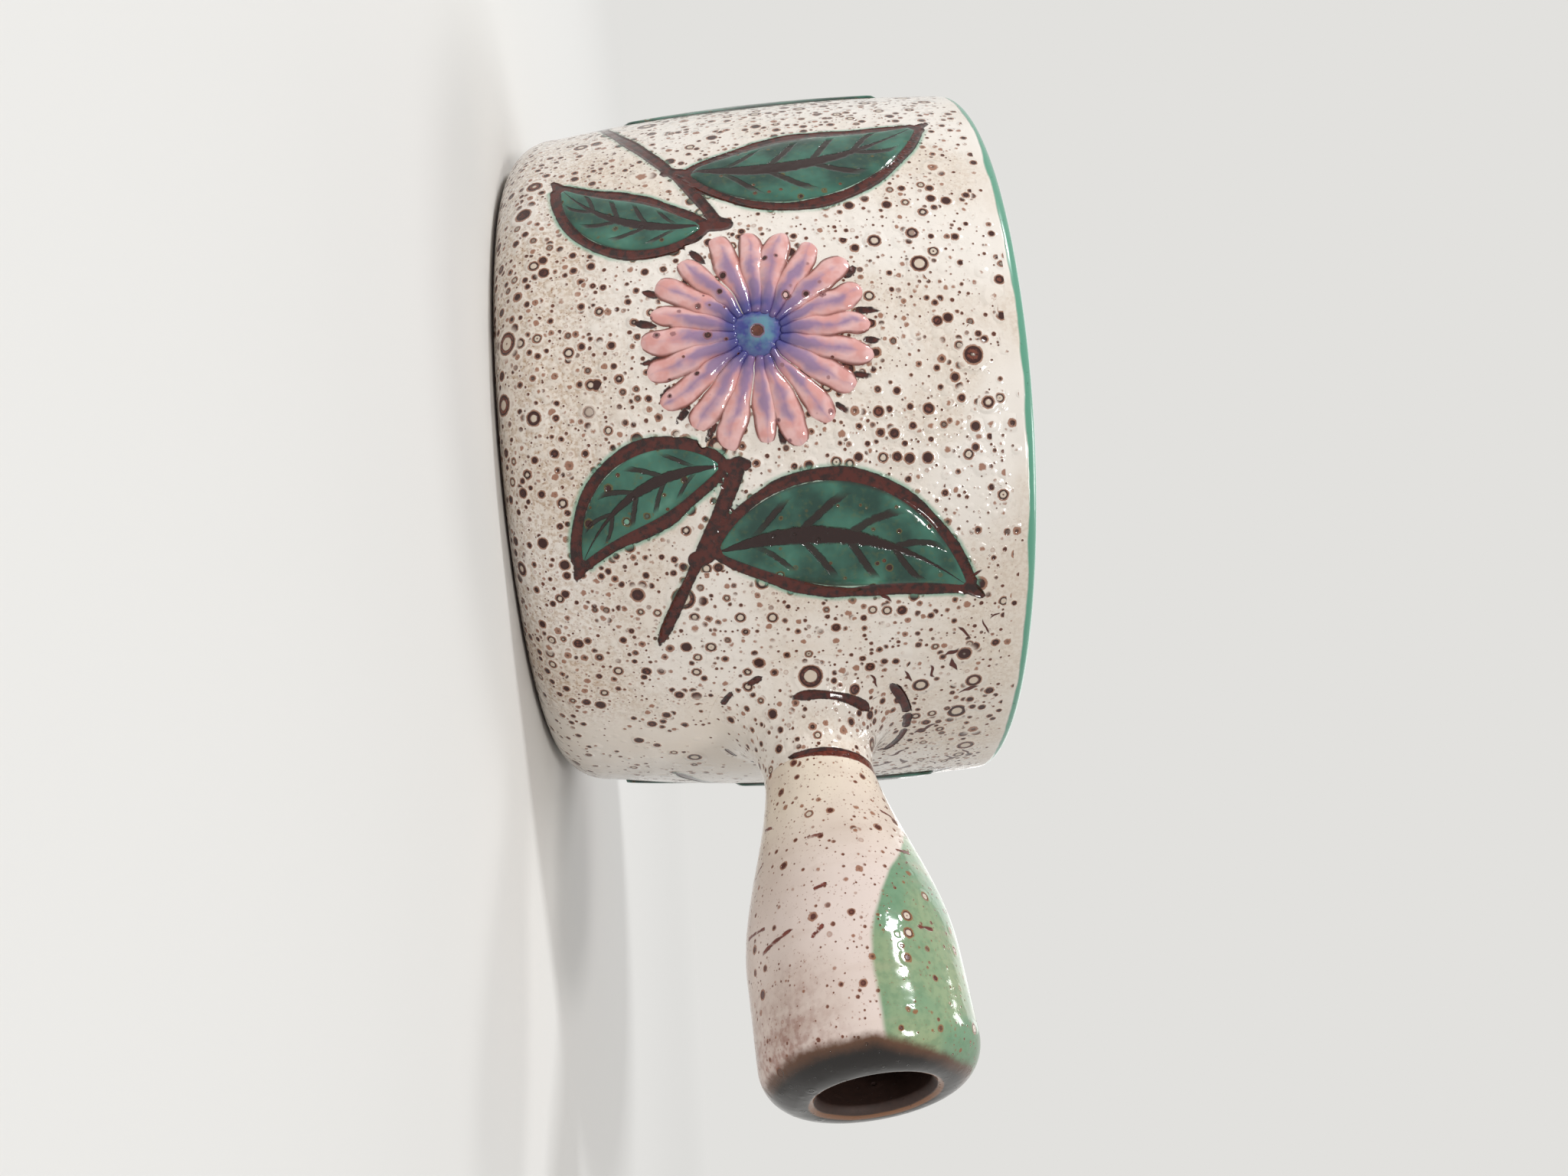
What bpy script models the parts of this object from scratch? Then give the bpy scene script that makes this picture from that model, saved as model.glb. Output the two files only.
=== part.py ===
"""A small glazed stoneware pan with a hollow side handle, as the potter puts it together.

The pan stands on its base at z = 0 with its axis on Z, and the handle points along +X.
It is a thrown body, a thrown hollow handle, the clay collar luted round their joint, and the
thick enamel laid on the wall as low relief: three blooms, each a ring of petals round a heart,
with leaves between them. Lengths are in metres.
"""

import math

import bmesh
import bpy
from mathutils import Vector

MM = 0.001

# Body
PAN_HEIGHT = 100.0 * MM
RIM_RADIUS = 80.0 * MM
BASE_RADIUS = 73.5 * MM
BELLY_SWELL = 3.0 * MM
WALL_THICKNESS = 5.5 * MM
FLOOR_THICKNESS = 7.0 * MM
BASE_CORNER = 11.5 * MM
INNER_CORNER = 12.0 * MM

# Handle: distances are along its own axis, from the point where that axis meets the wall
HANDLE_HEIGHT = 56.0 * MM
HANDLE_TILT = 2.2
HANDLE_LENGTH = 74.0 * MM
NECK_RADIUS = 10.6 * MM
NECK_END = 9.0 * MM
GRIP_RADIUS = 19.0 * MM
GRIP_WIDEST = 52.0 * MM
HANDLE_WALL = 4.2 * MM
HANDLE_END_ROUND = 7.0 * MM
MOUTH_RADIUS = 9.8 * MM
MOUTH_LIP_ROUND = 2.0 * MM

# Collar luted round the handle's root
COLLAR_RADIUS = 18.5 * MM
COLLAR_LENGTH = 12.0 * MM
COLLAR_EDGE = 1.0 * MM
COLLAR_TOP_WALL = 0.9 * MM

# Enamel relief on the wall: azimuths are in degrees from the handle
BLOOM_AZIMUTHS = {"front": -60.0, "back": 60.0, "far": 180.0}
BETWEEN_AZIMUTHS = {"front": -120.0, "back": 120.0}
BLOOM_HEIGHT = 50.0 * MM
PETAL_COUNT = 20
PETAL_TIP = 22.5 * MM
PETAL_VALLEY = 14.5 * MM
HEART_RADIUS = 5.2 * MM
HEART_DOME = 1.4 * MM
RELIEF_EDGE = 0.5 * MM
RELIEF_CROWN = 1.1 * MM
LEAF_CROWN = 0.8 * MM
LEAF_POINT = 0.6 * MM

# Clearances between pieces that touch
SEAT_GAP = 0.3 * MM
FIT_GAP = 0.3 * MM

# Fineness of the faceted solids
BODY_STEPS = 96
HANDLE_STEPS = 36
WALL_SPANS = 9
HANDLE_SPANS = 16
ARC_SPANS = 6
LEAF_SPANS = 10
STEPS_PER_PETAL = 4
PETAL_SPANS = 3
CUTTER_MARGIN = 30.0 * MM

# Leaves: where the root is along the wall from the azimuth that the leaf belongs to, and its
# height. A centre line leaves the root at one heading and ends at the other: degrees from
# upright, positive away from the bloom.
TALL_LEAF_ALONG = 40.0 * MM
TALL_LEAF_ROOT_HEIGHT = 40.0 * MM
TALL_LEAF_LENGTH = 54.0 * MM
TALL_LEAF_HALF_WIDTH = 10.5 * MM
TALL_LEAF_HEADINGS = (-17.0, 41.0)
SHORT_LEAF_ALONG = 24.0 * MM
SHORT_LEAF_ROOT_HEIGHT = 41.5 * MM
SHORT_LEAF_LENGTH = 37.5 * MM
SHORT_LEAF_HALF_WIDTH = 6.5 * MM
SHORT_LEAF_HEADINGS = (180.0, 115.0)
MIDDLE_LEAF_ROOT_HEIGHT = 26.0 * MM
MIDDLE_LEAF_LENGTH = 60.5 * MM
MIDDLE_LEAF_HALF_WIDTH = 11.0 * MM
MIDDLE_LEAF_HEADINGS = (-15.0, 19.0)

# Glaze and clay colours, linear RGB with roughness
FINISHES = {
    "crater_glaze": ((0.72, 0.66, 0.60), 0.18),
    "handle_glaze": ((0.70, 0.62, 0.55), 0.16),
    "leaf_green": ((0.030, 0.17, 0.115), 0.18),
    "petal_pink": ((0.66, 0.27, 0.26), 0.20),
    "heart_blue": ((0.05, 0.09, 0.30), 0.20),
}


def wall_radius(z):
    """Outer radius of the glazed wall at height z: a straight taper with a slight belly."""
    share = z / PAN_HEIGHT
    straight = BASE_RADIUS + (RIM_RADIUS - BASE_RADIUS) * share
    return straight + 4.0 * BELLY_SWELL * share * (1.0 - share)


def smooth_step(value):
    value = min(max(value, 0.0), 1.0)
    return value * value * (3.0 - 2.0 * value)


def arc(centre, radius, start, end, spans):
    """Points of an arc in the (radius, height) plane, angles in degrees from +radius."""
    angles = [math.radians(start + (end - start) * i / spans) for i in range(spans + 1)]
    return [(centre[0] + radius * math.cos(a), centre[1] + radius * math.sin(a)) for a in angles]


def spread(start, end, spans):
    """Values between start and end, both left out."""
    return [start + (end - start) * i / spans for i in range(1, spans)]


def clear_scene():
    for old in list(bpy.data.objects):
        bpy.data.objects.remove(old)


def make_collection(name):
    collection = bpy.data.collections.new(name)
    bpy.context.scene.collection.children.link(collection)
    return collection


def make_material(name):
    colour, roughness = FINISHES[name]
    material = bpy.data.materials.new(name)
    material.use_nodes = True
    shader = material.node_tree.nodes["Principled BSDF"]
    shader.inputs["Base Color"].default_value = (*colour, 1.0)
    shader.inputs["Roughness"].default_value = roughness
    shader.inputs["Metallic"].default_value = 0.0
    return material


def add_object(name, mesh, collection, material=None):
    obj = bpy.data.objects.new(name, mesh)
    collection.objects.link(obj)
    if material is not None:
        mesh.materials.append(material)
    return obj


def turned(name, profile, collection, steps, material=None):
    """A profile of (radius, height) points, turned about local Z."""
    mesh = bpy.data.meshes.new(name)
    points = [(radius, 0.0, height) for radius, height in profile]
    edges = [(i, i + 1) for i in range(len(points) - 1)]
    mesh.from_pydata(points, edges, [])
    obj = add_object(name, mesh, collection, material)
    screw = obj.modifiers.new("turn", "SCREW")
    screw.axis = "Z"
    screw.angle = math.tau
    screw.steps = steps
    screw.render_steps = steps
    screw.use_merge_vertices = True
    screw.merge_threshold = 0.00005
    return obj


def cut_by(obj, cutter):
    boolean = obj.modifiers.new("cut_to_wall", "BOOLEAN")
    boolean.operation = "DIFFERENCE"
    boolean.object = cutter


def as_mesh(obj):
    """Replaces an object's modifiers by the mesh that they make."""
    bpy.context.view_layer.update()
    graph = bpy.context.evaluated_depsgraph_get()
    made = bpy.data.meshes.new_from_object(obj.evaluated_get(graph))
    obj.modifiers.clear()
    obj.data = made
    return obj


def shade(obj):
    obj.data.shade_smooth()
    obj.data.set_sharp_from_angle(angle=math.radians(35.0))


def inner_wall_radius(z):
    return wall_radius(z) - WALL_THICKNESS


def body_profile():
    """Half section of the thrown body, from the middle of its floor over the rim to the foot."""
    floor = FLOOR_THICKNESS
    corner_top = floor + INNER_CORNER
    corner_centre = (inner_wall_radius(corner_top) - INNER_CORNER, corner_top)
    points = [(0.0, floor)]
    points += arc(corner_centre, INNER_CORNER, -90.0, 0.0, ARC_SPANS)
    lip = WALL_THICKNESS / 2.0
    lip_height = PAN_HEIGHT - lip
    points += [(inner_wall_radius(z), z) for z in spread(corner_top, lip_height, WALL_SPANS)]
    lip_centre = (wall_radius(lip_height) - lip, lip_height)
    points += arc(lip_centre, lip, 180.0, 0.0, ARC_SPANS)
    points += [(wall_radius(z), z) for z in spread(lip_height, BASE_CORNER, WALL_SPANS)]
    foot_radius = wall_radius(BASE_CORNER) - BASE_CORNER
    points += arc((foot_radius, BASE_CORNER), BASE_CORNER, 0.0, -90.0, ARC_SPANS)
    return [*points, (0.0, 0.0)]


def make_body(collection, material):
    body = turned("pan_body", body_profile(), collection, BODY_STEPS, material)
    shade(as_mesh(body))
    return body


def make_wall_cutter(collection):
    """The space that the body takes, grown by the seat gap, to trim what is luted to the wall."""
    low, high = -CUTTER_MARGIN, PAN_HEIGHT + CUTTER_MARGIN
    heights = [high, *reversed(spread(0.0, PAN_HEIGHT, WALL_SPANS)), low]
    side = [(wall_radius(min(max(z, 0.0), PAN_HEIGHT)) + SEAT_GAP, z) for z in heights]
    profile = [(0.0, high), *side, (0.0, low)]
    cutter = as_mesh(turned("wall_cutter", profile, collection, BODY_STEPS))
    cutter.hide_render = True
    cutter.display_type = "WIRE"
    return cutter


def make_handle_frame(collection):
    """Empty on the wall where the handle's axis meets it, local Z along the handle."""
    frame = bpy.data.objects.new("handle_axis", None)
    collection.objects.link(frame)
    frame.location = (wall_radius(HANDLE_HEIGHT), 0.0, HANDLE_HEIGHT)
    frame.rotation_euler = (0.0, math.radians(90.0 - HANDLE_TILT), 0.0)
    return frame


def grip_radius(along):
    """Outer radius of the handle: a straight neck that swells smoothly into the grip."""
    swell = smooth_step((along - NECK_END) / (GRIP_WIDEST - NECK_END))
    return NECK_RADIUS + (GRIP_RADIUS - NECK_RADIUS) * swell


def handle_profile():
    """Half section of the hollow handle, from inside the root, round the lip, back to the root."""
    root = -COLLAR_RADIUS / 2.0
    shoulder = HANDLE_LENGTH - HANDLE_END_ROUND
    hollow_end = HANDLE_LENGTH - HANDLE_WALL - MOUTH_LIP_ROUND
    hollow = [root, *spread(root, hollow_end, HANDLE_SPANS)]
    inside = [(max(grip_radius(x) - HANDLE_WALL, 0.0), x) for x in hollow]
    throat = [(MOUTH_RADIUS + MOUTH_LIP_ROUND, HANDLE_LENGTH - HANDLE_WALL)]
    lip_centre = (MOUTH_RADIUS + MOUTH_LIP_ROUND, HANDLE_LENGTH - MOUTH_LIP_ROUND)
    lip = arc(lip_centre, MOUTH_LIP_ROUND, 180.0, 90.0, ARC_SPANS)
    round_centre = (grip_radius(shoulder) - HANDLE_END_ROUND, shoulder)
    rounded = arc(round_centre, HANDLE_END_ROUND, 90.0, 0.0, ARC_SPANS)
    outside = [(grip_radius(x), x) for x in spread(shoulder, root, HANDLE_SPANS)]
    bottom = [(grip_radius(root), root), inside[0]]
    return inside + throat + lip + rounded + outside + bottom


def make_handle(collection, frame, cutter, material):
    handle = turned("handle_grip", handle_profile(), collection, HANDLE_STEPS, material)
    handle.parent = frame
    cut_by(handle, cutter)
    shade(handle)
    return handle


def collar_profile():
    """Half section of the collar before it is bent to the wall: its bore follows the neck."""
    root = -COLLAR_RADIUS / 2.0
    along = [root, *spread(NECK_END - 1.0 * MM, COLLAR_LENGTH, 3), COLLAR_LENGTH]
    bore = [(grip_radius(x) + FIT_GAP, x) for x in along]
    top = bore[-1][0] + COLLAR_TOP_WALL
    width, rise = COLLAR_RADIUS - top, COLLAR_LENGTH - COLLAR_EDGE
    angles = [math.radians(90.0 * i / ARC_SPANS) for i in range(ARC_SPANS, -1, -1)]
    flare = [
        (COLLAR_RADIUS - width * math.sin(a), COLLAR_EDGE + rise * (1.0 - math.cos(a)))
        for a in angles
    ]
    return [*bore, *flare, (COLLAR_RADIUS, root), bore[0]]


def make_collar(collection, frame, cutter, material):
    """The flare follows the round of the wall: its foot drops back where the wall curves away."""
    collar = turned("handle_collar", collar_profile(), collection, HANDLE_STEPS, material)
    collar.parent = frame
    as_mesh(collar)
    radius = wall_radius(HANDLE_HEIGHT)
    for vertex in collar.data.vertices:
        across, along = vertex.co.y, vertex.co.z
        drop = radius - math.sqrt(radius**2 - across**2)
        vertex.co.z = along - drop * (1.0 - smooth_step(along / COLLAR_LENGTH))
    cut_by(collar, cutter)
    shade(collar)
    return collar


def on_wall(azimuth, along, height, lift):
    """The point at a distance along the wall from an azimuth, lifted off its surface."""
    angle = math.radians(azimuth) + along / RIM_RADIUS
    radius = wall_radius(height) + SEAT_GAP + lift
    return Vector((radius * math.cos(angle), radius * math.sin(angle), height))


def bezier(start, control, end, share):
    return start.lerp(control, share).lerp(control.lerp(end, share), share)


def add_ring(mesh_maker, points):
    return [mesh_maker.verts.new(point) for point in points]


def finish_relief(name, mesh_maker, collection, material):
    bmesh.ops.recalc_face_normals(mesh_maker, faces=mesh_maker.faces)
    if mesh_maker.calc_volume(signed=True) < 0.0:
        bmesh.ops.reverse_faces(mesh_maker, faces=mesh_maker.faces)
    mesh = bpy.data.meshes.new(name)
    mesh_maker.to_mesh(mesh)
    mesh_maker.free()
    obj = add_object(name, mesh, collection, material)
    shade(obj)
    return obj


def leaf_width(widest, share):
    """Half width along a leaf: full near the root, drawn out to a point."""
    if share <= 0.0 or share >= 1.0:
        return LEAF_POINT
    return max(widest * math.sin(math.pi * share**0.85) ** 0.9, LEAF_POINT)


def leaf_line(side, leaf):
    """Root, control point and tip of a leaf's centre line, as (distance along the wall, height)."""
    along, height, length, _, headings = leaf
    points = [Vector((along, height))]
    for heading in headings:
        angle = math.radians(heading)
        points.append(points[-1] + Vector((math.sin(angle), math.cos(angle))) * length / 2.0)
    return [Vector((side * point.x, point.y)) for point in points]


def make_leaf(name, azimuth, side, leaf, collection, material):
    """A low pad of enamel along its centre line on the wall, crowned across, flat below."""
    root, control, tip = leaf_line(side, leaf)
    across = (-1.0, -0.5, 0.0, 0.5, 1.0)
    mesh_maker = bmesh.new()
    rings = []
    for i in range(LEAF_SPANS + 1):
        share = i / LEAF_SPANS
        centre = bezier(root, control, tip, share)
        step = (control - root).lerp(tip - control, share)
        half = Vector((step.y, -step.x)).normalized() * leaf_width(leaf[3], share)
        crown = (LEAF_CROWN - RELIEF_EDGE) * math.sin(math.pi * share)
        places = [centre + half * k for k in across]
        lifts = [RELIEF_EDGE + crown * (1.0 - k * k) for k in across]
        upper = [on_wall(azimuth, p.x, p.y, lift) for p, lift in zip(places, lifts)]
        lower = [on_wall(azimuth, p.x, p.y, 0.0) for p in reversed(places)]
        rings.append(add_ring(mesh_maker, upper + lower))
    count = 2 * len(across)
    for one, two in zip(rings, rings[1:]):
        for j in range(count):
            k = (j + 1) % count
            mesh_maker.faces.new((one[j], one[k], two[k], two[j]))
    mesh_maker.faces.new(list(reversed(rings[0])))
    mesh_maker.faces.new(rings[-1])
    return finish_relief(name, mesh_maker, collection, material)


def petal_points(azimuth, angle):
    """Points of the petal ring in one direction from the bloom's middle: the top, then below it."""
    lobe = abs(math.cos(PETAL_COUNT * angle / 2.0))
    inner = HEART_RADIUS + FIT_GAP
    reach = PETAL_VALLEY + (PETAL_TIP - PETAL_VALLEY) * lobe**0.6
    upper, lower = [], []
    for k in range(PETAL_SPANS + 1):
        share = k / PETAL_SPANS
        distance = inner + (reach - inner) * share
        along = distance * math.sin(angle)
        height = BLOOM_HEIGHT + distance * math.cos(angle)
        crown = (RELIEF_CROWN - RELIEF_EDGE) * lobe * math.sin(math.pi * (0.15 + 0.85 * share))
        upper.append(on_wall(azimuth, along, height, RELIEF_EDGE + crown))
        lower.append(on_wall(azimuth, along, height, 0.0))
    return upper + lower[::-1]


def make_petals(name, azimuth, collection, material):
    """The ring of petals round a heart, fused at their roots, each petal crowned."""
    around = PETAL_COUNT * STEPS_PER_PETAL
    angles = [math.tau * i / around for i in range(around)]
    mesh_maker = bmesh.new()
    rings = [add_ring(mesh_maker, petal_points(azimuth, angle)) for angle in angles]
    count = len(rings[0])
    for one, two in zip(rings, rings[1:] + rings[:1]):
        for j in range(count):
            k = (j + 1) % count
            mesh_maker.faces.new((one[j], one[k], two[k], two[j]))
    return finish_relief(name, mesh_maker, collection, material)


def make_heart(name, azimuth, collection, material):
    """The domed button in the middle of a bloom."""
    mesh_maker = bmesh.new()
    bmesh.ops.create_uvsphere(mesh_maker, u_segments=24, v_segments=12, radius=HEART_RADIUS)
    below = [v for v in mesh_maker.verts if v.co.z < -HEART_RADIUS * 0.01]
    bmesh.ops.delete(mesh_maker, geom=below, context="VERTS")
    rim = [edge for edge in mesh_maker.edges if edge.is_boundary]
    bmesh.ops.contextual_create(mesh_maker, geom=rim)
    for vertex in mesh_maker.verts:
        lift = HEART_DOME * max(vertex.co.z, 0.0) / HEART_RADIUS
        vertex.co = on_wall(azimuth, vertex.co.x, BLOOM_HEIGHT + vertex.co.y, lift)
    return finish_relief(name, mesh_maker, collection, material)


def make_relief(collection, materials):
    tall = (
        TALL_LEAF_ALONG, TALL_LEAF_ROOT_HEIGHT, TALL_LEAF_LENGTH,
        TALL_LEAF_HALF_WIDTH, TALL_LEAF_HEADINGS,
    )
    short = (
        SHORT_LEAF_ALONG, SHORT_LEAF_ROOT_HEIGHT, SHORT_LEAF_LENGTH,
        SHORT_LEAF_HALF_WIDTH, SHORT_LEAF_HEADINGS,
    )
    middle = (
        0.0, MIDDLE_LEAF_ROOT_HEIGHT, MIDDLE_LEAF_LENGTH,
        MIDDLE_LEAF_HALF_WIDTH, MIDDLE_LEAF_HEADINGS,
    )
    green = materials["leaf_green"]
    for place, azimuth in BLOOM_AZIMUTHS.items():
        make_petals(f"{place}_petals", azimuth, collection, materials["petal_pink"])
        make_heart(f"{place}_heart", azimuth, collection, materials["heart_blue"])
        for side, word in ((-1, "left"), (1, "right")):
            make_leaf(f"{place}_tall_leaf_{word}", azimuth, side, tall, collection, green)
            make_leaf(f"{place}_short_leaf_{word}", azimuth, side, short, collection, green)
    for place, azimuth in BETWEEN_AZIMUTHS.items():
        side = 1 if azimuth < 0.0 else -1
        make_leaf(f"{place}_middle_leaf", azimuth, side, middle, collection, green)


def main():
    clear_scene()
    parts = make_collection("glazed_pan")
    cutters = make_collection("cutters")
    materials = {name: make_material(name) for name in FINISHES}
    make_body(parts, materials["crater_glaze"])
    cutter = make_wall_cutter(cutters)
    frame = make_handle_frame(parts)
    make_handle(parts, frame, cutter, materials["handle_glaze"])
    make_collar(parts, frame, cutter, materials["crater_glaze"])
    make_relief(parts, materials)


main()
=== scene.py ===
# %% [markdown]
# # A glazed pan with a hollow handle
#
# The object is a small deep pan of fired clay. A potter throws the body and the handle on the
# wheel, lutes them together with a collar of soft clay, and a decorator draws on the wall with a
# brown line before the glazes go on. The thick cream glaze opens in the kiln into round craters.
#
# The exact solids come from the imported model. Here each of them gets a finer body with the
# marks of the hand, and a finish that is worked out at every point of its surface. Lengths are
# in millimetres in the patterns and in metres in the meshes.

import math
import random

import bmesh
import bpy
from mathutils import Matrix, Vector


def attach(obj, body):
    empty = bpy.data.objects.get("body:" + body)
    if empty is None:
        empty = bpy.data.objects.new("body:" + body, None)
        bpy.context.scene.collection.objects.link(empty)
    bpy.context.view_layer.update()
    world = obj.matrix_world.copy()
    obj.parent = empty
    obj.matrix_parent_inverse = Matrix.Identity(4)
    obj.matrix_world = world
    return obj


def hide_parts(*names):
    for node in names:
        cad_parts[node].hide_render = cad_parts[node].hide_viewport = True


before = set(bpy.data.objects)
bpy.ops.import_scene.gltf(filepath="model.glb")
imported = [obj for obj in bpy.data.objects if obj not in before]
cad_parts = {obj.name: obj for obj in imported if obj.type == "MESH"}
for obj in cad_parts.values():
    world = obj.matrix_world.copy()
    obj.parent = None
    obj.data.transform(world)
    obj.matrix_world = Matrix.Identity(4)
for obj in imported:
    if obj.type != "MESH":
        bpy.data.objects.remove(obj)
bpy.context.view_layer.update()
MM = 0.001
print("solids in the frame:", len(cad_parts))

# %% [markdown]
# ## Sizes
#
# These are the potter's own numbers, the same as in the model: how high and how wide the pan is,
# how its wall swells, and where the handle's axis leaves the wall. One small formula gives
# the wall's radius at any height. It works on plain numbers and, later, on the sockets of a
# node tree, because both understand plus and times.

# %% The pan's sizes
PAN_HEIGHT = 100.0
RIM_RADIUS = 80.0
BASE_RADIUS = 73.5
BELLY_SWELL = 3.0
WALL_THICKNESS = 5.5
FLOOR_THICKNESS = 7.0
BASE_CORNER = 11.5
INNER_CORNER = 12.0


def wall_radius(height):
    """Outer radius of the wall in mm at a height in mm."""
    share = height / PAN_HEIGHT
    straight = BASE_RADIUS + (RIM_RADIUS - BASE_RADIUS) * share
    return straight + 4.0 * BELLY_SWELL * share * (1.0 - share)


print("wall radius at half height:", round(wall_radius(PAN_HEIGHT / 2.0), 2), "mm")

# %% The handle's sizes
HANDLE_HEIGHT = 56.0
HANDLE_TILT = 2.2
HANDLE_LENGTH = 74.0
NECK_RADIUS = 10.6
NECK_END = 9.0
GRIP_RADIUS = 19.0
GRIP_WIDEST = 52.0
HANDLE_WALL = 4.2
END_ROUND = 7.0
MOUTH_RADIUS = 9.8
MOUTH_LIP = 2.0
HANDLE_ROOT = Vector((wall_radius(HANDLE_HEIGHT), 0.0, HANDLE_HEIGHT))
HANDLE_TURN = (0.0, math.radians(90.0 - HANDLE_TILT), 0.0)


def smooth_step(value):
    value = min(max(value, 0.0), 1.0)
    return value * value * (3.0 - 2.0 * value)


def grip_radius(along):
    """Outer radius of the handle in mm at a distance in mm from the wall."""
    swell = smooth_step((along - NECK_END) / (GRIP_WIDEST - NECK_END))
    return NECK_RADIUS + (GRIP_RADIUS - NECK_RADIUS) * swell


print("wall radius at the handle:", round(HANDLE_ROOT.x, 2), "mm")

# %% [markdown]
# ## A bench for node trees
#
# Both the shapes and the finishes below are node trees. Building them by hand takes many lines,
# so two small classes keep it readable. `Bench` holds a tree and adds any node to it.
# `Wire` is one socket, and arithmetic on it adds Math nodes, so that a mask can be written
# as `1 - hole` and a height as `ridge * 0.3`.

# %% A socket that does arithmetic


class Wire:
    """A socket of a node tree. Arithmetic on it adds Math nodes to the tree."""

    def __init__(self, bench, socket):
        self.bench = bench
        self.socket = socket

    def math(self, operation, *others):
        return self.bench.node("ShaderNodeMath", {"operation": operation}, [self, *others])

    def __add__(self, other):
        return self.math("ADD", other)

    def __sub__(self, other):
        return self.math("SUBTRACT", other)

    def __mul__(self, other):
        return self.math("MULTIPLY", other)

    def __truediv__(self, other):
        return self.math("DIVIDE", other)

    def __rsub__(self, other):
        return self.bench.node("ShaderNodeMath", {"operation": "SUBTRACT"}, [other, self])

    __radd__ = __add__
    __rmul__ = __mul__

    def at_least(self, other):
        return self.math("MAXIMUM", other)

    def at_most(self, other):
        return self.math("MINIMUM", other)

    def power(self, other):
        return self.math("POWER", other)

    def size(self):
        return self.math("ABSOLUTE")

    def over(self, low, high):
        """0 below low, 1 above high, smooth between. With low above high it falls instead."""
        settings = {"interpolation_type": "SMOOTHSTEP"}
        sockets = {"Value": self, "From Min": low, "From Max": high}
        return self.bench.node("ShaderNodeMapRange", settings, sockets)


print("a Wire adds, subtracts, multiplies and divides as nodes")

# %% A tree and the one method that adds any node to it


class Bench:
    """A node tree being built. A node's settings are made first, then its sockets."""

    def __init__(self, tree):
        self.tree = tree

    def node(self, kind, settings=None, sockets=None, out=0):
        made = self.tree.nodes.new(kind)
        for name, value in (settings or {}).items():
            setattr(made, name, value)
        named = sockets.items() if isinstance(sockets, dict) else enumerate(sockets or [])
        for key, value in named:
            if isinstance(value, Wire):
                self.tree.links.new(value.socket, made.inputs[key])
            elif value is not None:
                made.inputs[key].default_value = value
        if isinstance(out, tuple):
            return [Wire(self, made.outputs[key]) for key in out]
        return Wire(self, made.outputs[out])

    def ends_in(self, kind, socket, wire):
        """Adds the tree's last node and links the result to it."""
        self.tree.links.new(wire.socket, self.tree.nodes.new(kind).inputs[socket])

    def vector(self, operation, *values, out=0):
        return self.node("ShaderNodeVectorMath", {"operation": operation}, list(values), out)

    def scaled(self, vector, factor):
        sockets = {0: vector, "Scale": factor}
        return self.node("ShaderNodeVectorMath", {"operation": "SCALE"}, sockets)

    def split(self, vector):
        return self.node("ShaderNodeSeparateXYZ", None, [vector], ("X", "Y", "Z"))

    def joined(self, x, y, z):
        return self.node("ShaderNodeCombineXYZ", None, [x, y, z])

    def blend(self, factor, first, second):
        """Mixes two colours: all first at 0, all second at 1."""
        sockets = {0: factor, 6: first, 7: second}
        return self.node("ShaderNodeMix", {"data_type": "RGBA"}, sockets, 2)


print("a Bench adds nodes to a tree")

# %% Colours


def rgb(red, green, blue):
    """A colour as the eye names it (0 to 255) in the linear values that a shader takes."""
    values = [channel / 255.0 for channel in (red, green, blue)]
    linear = [v / 12.92 if v <= 0.04045 else ((v + 0.055) / 1.055) ** 2.4 for v in values]
    return (*linear, 1.0)


print("cream glaze in linear values:", [round(v, 3) for v in rgb(232, 224, 214)[:3]])

# %% [markdown]
# ## Trees that make meshes
#
# A tree works as a modifier on an object. The helpers below start a tree with named inputs, end
# it in real geometry, put it on an empty mesh, set its inputs by their identifiers, and take
# the result as a plain mesh, so that nothing live is left.

# %% Start and end a geometry tree


def group_of(name, inputs):
    """An empty geometry tree with a geometry output and the named inputs."""
    tree = bpy.data.node_groups.new(name, "GeometryNodeTree")
    tree.interface.new_socket("Geometry", in_out="OUTPUT", socket_type="NodeSocketGeometry")
    for label, kind in inputs.items():
        tree.interface.new_socket(label, in_out="INPUT", socket_type="NodeSocket" + kind)
    bench = Bench(tree)
    entry = tree.nodes.new("NodeGroupInput")
    return bench, {label: Wire(bench, entry.outputs[label]) for label in inputs}


def finish_group(bench, geometry, material):
    """Ends a tree in real geometry with its material set."""
    realised = bench.node("GeometryNodeRealizeInstances", None, {"Geometry": geometry})
    sockets = {"Geometry": realised, "Material": material}
    dressed = bench.node("GeometryNodeSetMaterial", None, sockets)
    bench.ends_in("NodeGroupOutput", "Geometry", dressed)


def position(bench):
    return bench.node("GeometryNodeInputPosition")


def of_object(bench, item):
    return bench.node("GeometryNodeObjectInfo", None, {"Object": item}, "Geometry")


def stored(bench, geometry, name, value):
    """Keeps a number on every point, for a finish to read."""
    settings = {"data_type": "FLOAT", "domain": "POINT"}
    sockets = {"Geometry": geometry, "Name": name, "Value": value}
    return bench.node("GeometryNodeStoreNamedAttribute", settings, sockets)


def sampled(bench, geometry, value, kind, index):
    """The value that a geometry has at one of its points."""
    sockets = {"Geometry": geometry, "Value": value, "Index": index}
    return bench.node("GeometryNodeSampleIndex", {"data_type": kind}, sockets)


def moved(bench, geometry, place):
    return bench.node("GeometryNodeSetPosition", None, {"Geometry": geometry, "Position": place})


def smoothed(bench, geometry):
    sockets = {"Geometry": geometry, "Shade Smooth": True}
    return bench.node("GeometryNodeSetShadeSmooth", None, sockets)


print("helpers for geometry trees ready")

# %% Run a tree into a plain mesh


def put_object(name, data):
    obj = bpy.data.objects.new(name, data)
    bpy.context.scene.collection.objects.link(obj)
    return obj


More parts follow.
